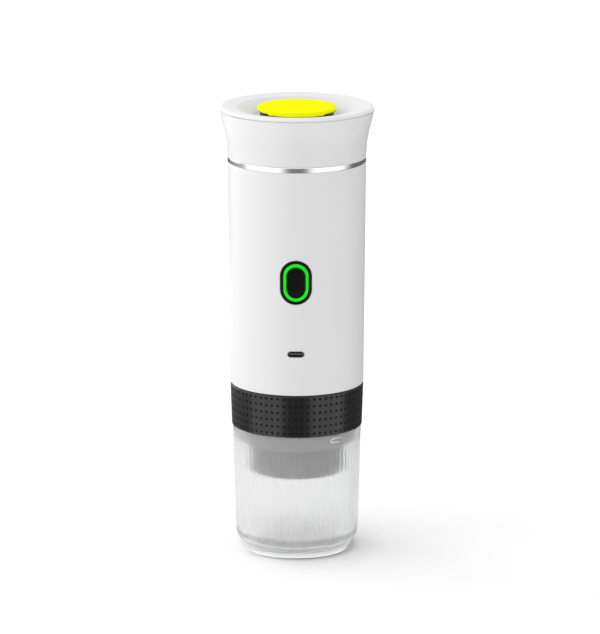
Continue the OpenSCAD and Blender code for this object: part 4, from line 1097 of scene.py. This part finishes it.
class MAKER_OT_grip(bpy.types.Operator):
    """Build the black band with its dimples"""

    bl_idname = "maker.grip"
    bl_label = "Grip Band"

    def cell(self, grip):
        """One square cell with a round hollow, sized in columns and rows"""
        bm = bmesh.new()
        width = TAU * (grip.bottom_radius + GRIP_TOP_R) / 2 / grip.columns
        border = []
        for k in range(12):
            side, part = divmod(k, 3)
            t = part / 3 - 0.5
            border.append([(t, -0.5), (0.5, t), (-t, 0.5), (-0.5, -t)][side])
        loop = [bm.verts.new((x, y, 0.0)) for x, y in border]
        for share_out, sink in ((1.12, 0.0), (1.0, 0.0), (0.95, -0.35), (0.48, -0.75)):
            ring = []
            for x, y in border:
                a = math.atan2(y, x)
                r = grip.radius * share_out
                ring.append(bm.verts.new((r / width * math.cos(a), r / grip.pitch * math.sin(a), sink)))
            skin(bm, loop, ring)
            loop = ring
        skin(bm, loop, [bm.verts.new((0, 0, -1.0))])
        return make_object("dimpled_band", bm)

    def execute(self, context):
        grip = context.scene.maker_grip
        band = self.cell(grip)
        bevel = grip.bevel
        bottom = GRIP_Z0 + grip.first - grip.pitch / 2
        top = GRIP_Z1 - bevel
        realise(band, dimple_tree(), {
            "Columns": grip.columns, "Rows": grip.rows, "Turn": 0.5 * (1 - grip.columns % 2),
            "Pitch": grip.pitch, "Bottom": bottom, "Top": top, "Bottom Radius": grip.bottom_radius,
            "Top Radius": GRIP_TOP_R, "Depth": grip.depth, "Material": bpy.data.materials["dimpled_rubber"],
        })
        bm = bmesh.new()
        bm.from_mesh(band.data)
        bmesh.ops.remove_doubles(bm, verts=bm.verts, dist=4e-6)
        bmesh.ops.dissolve_degenerate(bm, dist=1e-6, edges=bm.edges)
        ends = []
        for z in (bottom, top):
            rim = [e for e in bm.edges if e.is_boundary and all(abs(v.co.z - z) < 1e-5 for v in e.verts)]
            ends.append(rim)
        loops = []
        for rim, z, way in zip(ends, (GRIP_Z0, GRIP_Z1), (1, -1)):
            start_r = grip.bottom_radius if way > 0 else GRIP_TOP_R
            edge = arc(start_r - bevel, z + way * bevel, bevel, 0, -way * math.pi / 2, 5)
            for r, height in edge + [(grip.inner_radius, z)]:
                made = bmesh.ops.extrude_edge_only(bm, edges=rim)["geom"]
                for v in (g for g in made if isinstance(g, bmesh.types.BMVert)):
                    scale = r / math.hypot(v.co.x, v.co.y)
                    v.co = Vector((v.co.x * scale, v.co.y * scale, height))
                rim = [g for g in made if isinstance(g, bmesh.types.BMEdge)]
            loops += rim
        bmesh.ops.bridge_loops(bm, edges=loops)
        bmesh.ops.remove_doubles(bm, verts=bm.verts, dist=1e-6)
        bmesh.ops.recalc_face_normals(bm, faces=bm.faces)
        bm.to_mesh(band.data)
        bm.free()
        settle(band, "brew_holder", "grip_rubber", "dimpled_rubber", "grip_sleeve")
        band.data.set_sharp_from_angle(angle=math.radians(50))
        return {"FINISHED"}


class MAKER_OT_cup(bpy.types.Operator):
    """Build the fluted cup with its thick foot and key lugs"""

    bl_idname = "maker.cup"
    bl_label = "Cup"

    def execute(self, context):
        c = context.scene.maker_cup
        per_flute = 10
        columns = c.flutes * per_flute

        def outer_r(z):
            share_up = (z - c.slope_height) / (CUP_H - c.slope_height)
            return c.foot_radius + (CUP_LIP_R - c.foot_radius) * share_up

        top = CUP_H - c.lip_band
        fade, fade_out = 0.003, 0.0016
        rise = [c.slope_height + 0.0008, c.slope_height + 0.002]
        rise += list(np.linspace(c.slope_height + 0.004, top - 0.004, 12))
        rise += [top - fade_out * t for t in (1.0, 0.75, 0.5, 0.25, 0)]
        rise += list(np.linspace(top + 0.001, CUP_H - 0.0012, 5))
        bend_r = c.foot_radius - c.bend
        slope_top = c.slope_height - c.bend * math.sin(c.slope)
        foot = bend_r + c.bend * math.cos(c.slope) - slope_top * math.tan(c.slope)
        floor = c.hollow + c.floor
        ring_w = 0.0028
        slope = [
            (foot + slope_top * t * math.tan(c.slope), slope_top * t) for t in (0.22, 0.4, 0.6, 0.8)
        ]
        slope += arc(bend_r, c.slope_height, c.bend, -c.slope, 0, 12)
        under = rounded(
            [(0, c.hollow, 0), (foot - ring_w - 0.0004, c.hollow, 0.0012), (foot - ring_w, 0, 0.0005),
             (foot, 0, 0.0003), (*slope[0], 0)],
            closed=False, steps=5,
        )
        soft = 0.0006
        lip_r = outer_r(CUP_H)
        lip = arc(lip_r - soft, CUP_H - soft, soft, 0, math.pi / 2, 6)
        lip += arc(lip_r - c.wall + soft, CUP_H - soft, soft, math.pi / 2, math.pi, 6)
        lug_z = CUP_H - c.lug_drop
        fall = list(np.linspace(CUP_H - 0.001, lug_z - 0.0024, 22))
        bowl_z = floor + c.bowl
        fall += list(np.linspace(lug_z - 0.0034, bowl_z + 0.0005, 12))
        bowl_x = outer_r(bowl_z) - c.wall - c.bowl
        bowl = arc(bowl_x, bowl_z, c.bowl, 0, -math.pi / 2, 9)
        outline = [tuple(p) for p in under]
        walls = [0.0] * len(outline)
        for r, z in slope[1:] + [(outer_r(z), z) for z in rise]:
            ends = max(0.0, min((z - c.flute_start) / fade, (top - z) / fade_out, 1.0))
            outline.append((r, z))
            walls.append(eased(ends))
        rest = lip + [(outer_r(z) - c.wall, z) for z in fall] + bowl + [(bowl_x * 0.5, floor), (0, floor)]
        outline += rest
        walls += [0.0] * len(rest)
        bm = bmesh.new()
        turn(bm, outline, columns, closed=False)
        allowed = []
        for (r, z), wall in zip(outline, walls):
            allowed += [wall] * (1 if r < 1e-7 else columns)
        self.raise_lugs(bm, c, lug_z, outer_r)
        cup = outward_object("fluted_cup", bm)
        mark(cup, "outer_wall", allowed)
        realise(cup, flute_tree(), {
            "Count": c.flutes, "Depth": c.flute_depth, "Width": c.flute_width,
            "Material": bpy.data.materials["milky_cup"],
        })
        cup.data.attributes.remove(cup.data.attributes["outer_wall"])
        settle(cup, "cup", "clear_plastic", "milky_cup", "cup")
        self.painted_lug_highlights(c, lug_z, outer_r)
        return {"FINISHED"}

    def painted_lug_highlights(self, c, lug_z, outer_r):
        """White rims round one end of the lugs, where they show through the wall: a painted highlight that
        stands for the light caught by the lugs' edges
        """
        bead, sunk = 0.00036, 0.6
        lift, shift = 0.0012, 0.024
        ends = 6
        high, wide = c.lug_height - 0.0007, c.lug_width
        bm = bmesh.new()
        for k in range(c.lugs):
            middle = c.lug_turn + TAU * k / c.lugs + shift
            path = slot_points(high, wide, 72)
            far = max(range(len(path)), key=lambda i: path[i][1])
            path = [p for p in path[far:] + path[:far] if p[1] < wide * 0.28]
            last = len(path) - 1
            rings = []
            for i, (up, across) in enumerate(path):
                before, after = path[max(i - 1, 0)], path[min(i + 1, last)]
                way = Vector((after[0] - before[0], after[1] - before[1])).normalized()
                thin = bead * min(1.0, 0.35 + 0.65 * min(i, last - i) / ends)
                ring = []
                for a in np.linspace(0, TAU, 8, endpoint=False):
                    z = lug_z + lift + up - way.y * thin * math.cos(a)
                    r = outer_r(z) - thin * (sunk - math.sin(a))
                    angle = middle + (across + way.x * thin * math.cos(a)) / r
                    ring.append(bm.verts.new(at_angle(angle, r, z)))
                rings.append(ring)
            for lower, upper in zip(rings, rings[1:]):
                skin(bm, lower, upper)
            bm.faces.new(rings[0])
            bm.faces.new(rings[-1])
        beads = outward_object("lug_painted_highlights", bm)
        settle(beads, "cup", "clear_plastic", "lug_highlight_white")

    def raise_lugs(self, bm, c, lug_z, outer_r):
        """Moves the inner wall in over each slot-shaped lug"""
        radius = c.lug_height / 2
        straight = c.lug_width / 2 - radius
        soft = 0.0005
        for v in bm.verts:
            if abs(v.co.z - lug_z) > c.lug_height:
                continue
            r = math.hypot(v.co.x, v.co.y)
            if r > outer_r(v.co.z) - c.wall * 0.6 or r < 0.02:
                continue
            angle = math.atan2(v.co.x, -v.co.y)
            for k in range(c.lugs):
                off = (angle - c.lug_turn - TAU * k / c.lugs + math.pi) % TAU - math.pi
                past = max(abs(off * r) - straight, 0.0)
                edge = radius - math.hypot(past, v.co.z - lug_z)
                t = min(max(edge / soft, 0.0), 1.0)
                if t > 0:
                    scale = (r - c.lug_rise * eased(t)) / r
                    v.co.x *= scale
                    v.co.y *= scale


SKINS = {
    "holder": ("brew_holder", "dark_plastic", "grey_holder"),
    "filter_basket": ("brew_holder", "steel_sheet", "brushed_sheet"),
    "brew_head": ("pump_unit", "dark_plastic", "dark_moulding"),
    "shower_screen": ("pump_unit", "steel_sheet", "brushed_sheet"),
    "tank_neck": ("pump_unit", "white_shell", "white_satin"),
    "lid_liner": ("lid", "white_shell", "white_satin"),
    "water_tank": ("pump_unit", "steel_sheet", "brushed_sheet"),
}


class MAKER_OT_inner_skins(bpy.types.Operator):
    """Smooth the turned and threaded pieces that show when the maker comes apart"""

    bl_idname = "maker.inner_skins"
    bl_label = "Threaded Pieces"

    def execute(self, context):
        for node, (body, slot, look) in SKINS.items():
            settle(smooth_copy(node, node + "_skin"), body, slot, look, node, smooth=False)
        return {"FINISHED"}


INNER_FINISHES = {
    "vent_seal": "seal_silicone", "lid_gasket": "seal_silicone", "tank_seal": "seal_silicone",
    "brew_gasket": "seal_silicone", "cup_seal": "grey_seal", "inlet_hose": "seal_silicone",
    "switch_plunger": "black_moulding", "tact_switch": "dark_moulding", "light_emitters": "lamp_white",
    "usb_board": "board_green", "control_board": "board_green", "heater_plate": "plain_aluminium",
    "thermal_cutout": "lamp_white", "upper_deck": "dark_moulding", "lower_deck": "dark_moulding",
    "battery_cell_rear": "cell_wrap", "battery_cell_left": "cell_wrap", "battery_cell_right": "cell_wrap",
    "cell_tabs": "plain_aluminium", "pump_motor": "plain_aluminium", "drive_gear": "natural_acetal",
    "driven_gear": "natural_acetal", "pump_body": "dark_moulding", "pump_cover": "dark_moulding",
    "valve_body": "natural_acetal", "valve_ball": "brushed_sheet", "valve_spring": "brushed_sheet",
    "shower_screw": "brushed_sheet", "neck_screws": "brushed_sheet", "deck_screws": "brushed_sheet",
    "head_screws": "brushed_sheet", "pump_screws": "brushed_sheet",
}


class MAKER_OT_finishes(bpy.types.Operator):
    """Make every finish and give the inner pieces theirs"""

    bl_idname = "maker.finishes"
    bl_label = "Finishes"

    def execute(self, context):
        scene = context.scene
        shell, button = scene.maker_shell, scene.maker_button
        finish("white_satin", shell.white, 0.34, tint=0.006, patch=30, grain=3200, depth=2e-6, vary=0.03)
        # The cap's faint yellow emission is a painted glow that makes it brighter; the cap is no lamp.
        finish("yellow_painted_glow", shell.yellow, 0.7, tint=0.006, patch=60, grain=2400, depth=6e-6,
               Specular_IOR_Level=0.0, Emission_Color=(*shell.yellow, 1.0), Emission_Strength=0.08)
        finish("black_moulding", (0.012, 0.012, 0.013), 0.45, tint=0.15, depth=8e-6)
        finish("black_satin", (0.0035, 0.0032, 0.004), 0.33, tint=0.12, grain=4200, depth=3e-6,
               Specular_IOR_Level=0.16)
        finish("dark_moulding", (0.05, 0.05, 0.055), 0.5, tint=0.1, depth=8e-6)
        finish("grey_holder", (0.12, 0.12, 0.122), 0.45, tint=0.06, depth=6e-6)
        finish("ring_polish", (0.86, 0.86, 0.87), 0.13, tint=0.02, grain=5000, depth=5e-7, vary=0.03,
               stretch=(0.1, 0.1, 1.0), Metallic=1.0)
        finish("socket_steel", (0.45, 0.45, 0.47), 0.3, tint=0.05, Metallic=1.0)
        finish("brushed_sheet", (0.62, 0.62, 0.63), 0.3, tint=0.05, grain=2400, depth=3e-6, vary=0.08,
               stretch=(0.04, 0.04, 1.0), Metallic=1.0)
        finish("plain_aluminium", (0.7, 0.7, 0.71), 0.38, tint=0.05, Metallic=1.0)
        finish("gold_contact", (0.83, 0.6, 0.25), 0.28, tint=0.05, Metallic=1.0)
        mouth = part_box("usb_socket")[0].y
        # The tongue is painted paler along its front 0.8 mm, which is painted light at the socket's mouth,
        # and dark further in, which is painted shade inside the socket.
        front, rest = (0.13, 0.13, 0.135), (0.03, 0.03, 0.031)
        zoned("tongue_painted_shading", 0.6, lambda tree: calc(tree, "SUBTRACT", along(tree, "Y"), mouth),
              (0.0, front), (0.0008, front), (0.001, rest), (0.005, rest))
        # The lid is painted 5 % darker in the dish, which is painted shade, and paler on the flare, which
        # is painted light from below.
        dish = [c * 0.95 for c in shell.white]
        white, pale = shell.white, shell.flare_painted_light
        zoned("lid_satin_painted_shading", 0.34, off_axis, (0.0, dish), (0.031, dish), (0.0335, white),
              (BODY_TOP_R + 0.0006, white), (BODY_TOP_R + 0.0025, pale), (RIM_R, pale))
        rubber_finish(scene.maker_grip)
        finish("seal_silicone", (0.68, 0.67, 0.63), 0.55, tint=0.04)
        finish("grey_seal", (0.12, 0.12, 0.122), 0.6, tint=0.06)
        finish("lamp_white", (0.8, 0.8, 0.74), 0.45, tint=0.04)
        # The white of the lug rims is a painted highlight.
        finish("lug_highlight_white", (0.85, 0.85, 0.86), 0.5, tint=0.02)
        finish("natural_acetal", (0.78, 0.73, 0.58), 0.4, tint=0.04)
        banded_finish("cell_wrap", (0.03, 0.12, 0.3), (0.045, 0.16, 0.36), 0.35)
        finish("board_green", (0.014, 0.1, 0.045), 0.35, tint=0.25, patch=700, grain=1500, depth=6e-6,
               Coat_Weight=0.4)
        lit_ring_finish(button.green, button.glow)
        cup_finish(scene.maker_cup)
        for node, name in INNER_FINISHES.items():
            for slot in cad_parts[node].material_slots:
                slot.material = bpy.data.materials[name]
        return {"FINISHED"}


class MAKER_OT_stage(bpy.types.Operator):
    """Set up the floor, the lamps, the flags and the camera"""

    bl_idname = "maker.stage"
    bl_label = "Studio"

    def shown(self, tree):
        """One for rays of camera, gloss and glass"""
        rays = tree.nodes.new("ShaderNodeLightPath").outputs
        mirrored = calc(tree, "MAXIMUM", rays["Is Glossy Ray"], rays["Is Transmission Ray"])
        return calc(tree, "MAXIMUM", rays["Is Camera Ray"], mirrored)

    def floor(self):
        bm = bmesh.new()
        turn(bm, [(0, 0), (0.3, 0), (1.2, 0), (12, 0)], 64, closed=False)
        for face in bm.faces:
            if face.normal.z < 0:
                face.normal_flip()
        floor = make_object("studio_floor", bm)
        material, tree, shader = start_material("studio_white_painted_shadow")
        distance = off_axis(tree)
        reach = 0.104

        def rings(*stops):
            return stepped(tree, distance, [(place, [number] * 3) for place, number in stops])

        # The floor carries painted shadow and painted light. A dark ring is painted round the cup's foot,
        # left out on the lit left and weakened on the right, with less glow close to the foot. A pool of
        # painted light lies near the foot on the left. For rays seen through the cup, a brighter glow under
        # and round it stands for light passing through the cup.
        lit_side = between(tree, along(tree, "X"), -0.03, 0.002, 1.0, 0.0)
        painted_contact_shadow = rings(
            (0.0, 1.0), (0.0265, 1.0), (0.0275, 0.0), (0.0293, 0.0), (0.0312, 0.75), (0.035, 1.0),
            (reach, 1.0),
        )
        soft_side = between(tree, along(tree, "X"), 0.01, 0.026, 0.0, 0.6)
        cover = calc(tree, "MAXIMUM", calc(tree, "MAXIMUM", painted_contact_shadow, lit_side), soft_side)
        direct = calc(tree, "MULTIPLY", cover, rings(
            (0.0, 0.08), (0.032, 0.08), (0.0375, 0.11), (0.048, 0.165), (0.072, 0.195), (reach, 0.205),
        ))
        painted_light_pool = calc(tree, "MULTIPLY", lit_side, rings(
            (0.0, 0.16), (0.03, 0.16), (0.048, 0.07), (0.08, 0.0), (reach, 0.0),
        ))
        direct = calc(tree, "ADD", direct, painted_light_pool)
        through = rings(
            (0.0, 0.55), (0.0235, 0.55), (0.0255, 0.9), (0.029, 0.9), (0.032, 0.55), (0.035, 0.5),
            (0.048, 0.24), (reach, 0.205),
        )
        seen_through = tree.nodes.new("ShaderNodeLightPath").outputs["Is Transmission Ray"]
        near = calc(tree, "ADD", calc(tree, "MULTIPLY", through, seen_through),
                    calc(tree, "MULTIPLY", direct, calc(tree, "SUBTRACT", 1.0, seen_through)))
        glow = calc(tree, "ADD", near, between(tree, distance, reach, 1.6, 0.0, 0.395))
        # The darker base colour within the ring is painted shadow.
        fill(
            shader, Base_Color=ramp(tree, cover, (0.3, 0.3, 0.3), (0.9, 0.9, 0.9), (0.0, 1.0)),
            Roughness=0.9, Specular_IOR_Level=0.0, Emission_Color=(1, 1, 1, 1),
            Emission_Strength=calc(tree, "MULTIPLY", glow, self.shown(tree)),
        )
        floor.data.materials.append(material)

    def flags(self):
        """Grey cards on the floor, out of the picture, that only reflections see"""
        cards = [
            ("band_front", -28, 28, 12, 12, ((0.12, 0.13), (0.42, 0.13))),
            ("band_left", 180, 287, 0, 16, ((0.2, 0.2), (0.385, 0.2))),
            ("band_right", 78, 180, 14, 0, ((0.2, 0.09), (0.385, 0.09))),
            ("front", -34, 34, 26, 26, ((0.42, 0.24), (3.0, 0.24))),
            ("back_left", 180, 284, 0, 30, (
                (0.385, 0.95), (0.74, 0.95), (0.8, 0.05), (1.12, 0.05), (1.2, 0.95), (3.0, 0.95),
            )),
            ("back_right", 75, 180, 32, 0, (
                (0.385, 0.3), (0.5, 0.16), (0.7, 0.07), (0.98, 0.07), (1.05, 0.2), (3.0, 0.2),
            )),
        ]
        columns = 49
        lift = 0.0006
        for name, start, end, soft_start, soft_end, greys in cards:
            bm = bmesh.new()
            sweep = (math.radians(start), math.radians(end - start))
            rings = [[bm.verts.new(p) for p in around(r, lift, columns, *sweep)] for r, grey in greys]
            for lower, upper in zip(rings, rings[1:]):
                skin(bm, lower, upper, wrap=False)
            for face in bm.faces:
                face.normal_update()
                if face.normal.z < 0:
                    face.normal_flip()
            card = make_object("flag_" + name, bm)
            cover = []
            for angle in np.linspace(start, end, columns):
                t = 1.0
                if soft_start:
                    t = min(t, (angle - start) / soft_start)
                if soft_end:
                    t = min(t, (end - angle) / soft_end)
                cover.append(eased(t))
            mark(card, "cover", cover * len(rings))
            card.data.materials.append(self.card_finish("flag_" + name, greys))
            for ray in ("camera", "diffuse", "transmission", "volume_scatter", "shadow"):
                setattr(card, "visible_" + ray, False)

    def card_finish(self, name, greys):
        """Grey card, darker or paler by distance, that fades out towards its sides"""
        stops = [(place, [grey] * 3) for place, grey in greys]
        material = zoned(name, 0.9, off_axis, *stops, Specular_IOR_Level=0.0)
        tree = material.node_tree
        cover = tree.nodes.new("ShaderNodeAttribute")
        cover.attribute_name = "cover"
        fill(tree.nodes["Principled BSDF"], Alpha=cover.outputs["Fac"])
        return material

    def world(self, studio):
        world = bpy.data.worlds.new("studio_air")
        bpy.context.scene.world = world
        world.use_nodes = True
        tree = world.node_tree
        even = tree.nodes["Background"]
        white = tree.nodes.new("ShaderNodeBackground")
        for node, strength in ((even, studio.ambient), (white, 1.0)):
            fill(node, Color=(1, 1, 1, 1), Strength=strength)
        mix = tree.nodes.new("ShaderNodeMixShader")
        for socket, value in zip(mix.inputs, (self.shown(tree), even.outputs[0], white.outputs[0])):
            plug(value, socket)
        fill(tree.nodes["World Output"], Surface=mix.outputs[0])

    def lamp(self, name, place, aim, wide, high, power):
        data = bpy.data.lights.new(name, "AREA")
        data.shape = "RECTANGLE"
        data.size = wide
        data.size_y = high
        data.energy = power
        lamp = bpy.data.objects.new(name, data)
        lamp.location = place
        lamp.rotation_mode = "QUATERNION"
        lamp.rotation_quaternion = (Vector(aim) - Vector(place)).to_track_quat("-Z", "Y")
        bpy.context.scene.collection.objects.link(lamp)

    def execute(self, context):
        scene = context.scene
        studio = scene.maker_studio
        self.floor()
        self.flags()
        self.world(studio)
        self.lamp("key_left", (-1.7, -0.55, 0.75), (0, 0, 0.13), 1.3, 1.3, studio.key)
        self.lamp("top_soft", (-0.3, -0.2, 1.7), (0, 0, 0.2), 1.1, 1.1, studio.top)
        self.lamp("rim_left", (-1.4, 0.9, 0.45), (0, 0, 0.13), 0.8, 1.0, studio.rim)
        data = bpy.data.cameras.new("photo_camera")
        data.lens = studio.lens
        data.sensor_width = 36.0
        data.clip_start = 0.1
        data.clip_end = 50.0
        camera = bpy.data.objects.new("photo_camera", data)
        turned_by = studio.camera_turn
        ahead, side = studio.camera_distance, studio.camera_side
        camera.location = (
            ahead * math.sin(turned_by) + side * math.cos(turned_by),
            side * math.sin(turned_by) - ahead * math.cos(turned_by),
            studio.camera_height,
        )
        camera.rotation_euler = (math.pi / 2 - studio.camera_tilt, 0, turned_by)
        scene.collection.objects.link(camera)
        scene.camera = camera
        scene.view_settings.view_transform = "Standard"
        return {"FINISHED"}


class MAKER_PT_panel(bpy.types.Panel):
    """Steps and sizes of the espresso maker"""

    bl_idname = "MAKER_PT_panel"
    bl_label = "Espresso Maker"
    bl_space_type = "VIEW_3D"
    bl_region_type = "UI"
    bl_category = "Espresso Maker"

    def draw(self, context):
        for step in STEPS:
            self.layout.operator(step.bl_idname)
        for attribute in GROUPS:
            group = getattr(context.scene, attribute)
            box = self.layout.box()
            box.label(text=group.bl_rna.description or attribute)
            for name in group.__annotations__:
                box.prop(group, name)


STEPS = (
    MAKER_OT_stage, MAKER_OT_finishes, MAKER_OT_lid, MAKER_OT_vent, MAKER_OT_trim_ring, MAKER_OT_body,
    MAKER_OT_button, MAKER_OT_socket, MAKER_OT_grip, MAKER_OT_cup, MAKER_OT_inner_skins,
)
GROUPS = {
    "maker_shell": ShellSizes, "maker_button": ButtonSizes, "maker_grip": GripSizes, "maker_cup": CupSizes,
    "maker_studio": StudioSizes,
}


def register():
    for cls in (*GROUPS.values(), *STEPS, MAKER_PT_panel):
        bpy.utils.register_class(cls)
    for attribute, cls in GROUPS.items():
        setattr(bpy.types.Scene, attribute, PointerProperty(type=cls))


def unregister():
    for attribute in GROUPS:
        delattr(bpy.types.Scene, attribute)
    for cls in (MAKER_PT_panel, *reversed(STEPS), *reversed(GROUPS.values())):
        bpy.utils.unregister_class(cls)


def main():
    register()
    for step in STEPS:
        group, name = step.bl_idname.split(".")
        getattr(getattr(bpy.ops, group), name)()


if __name__ == "__main__":
    main()
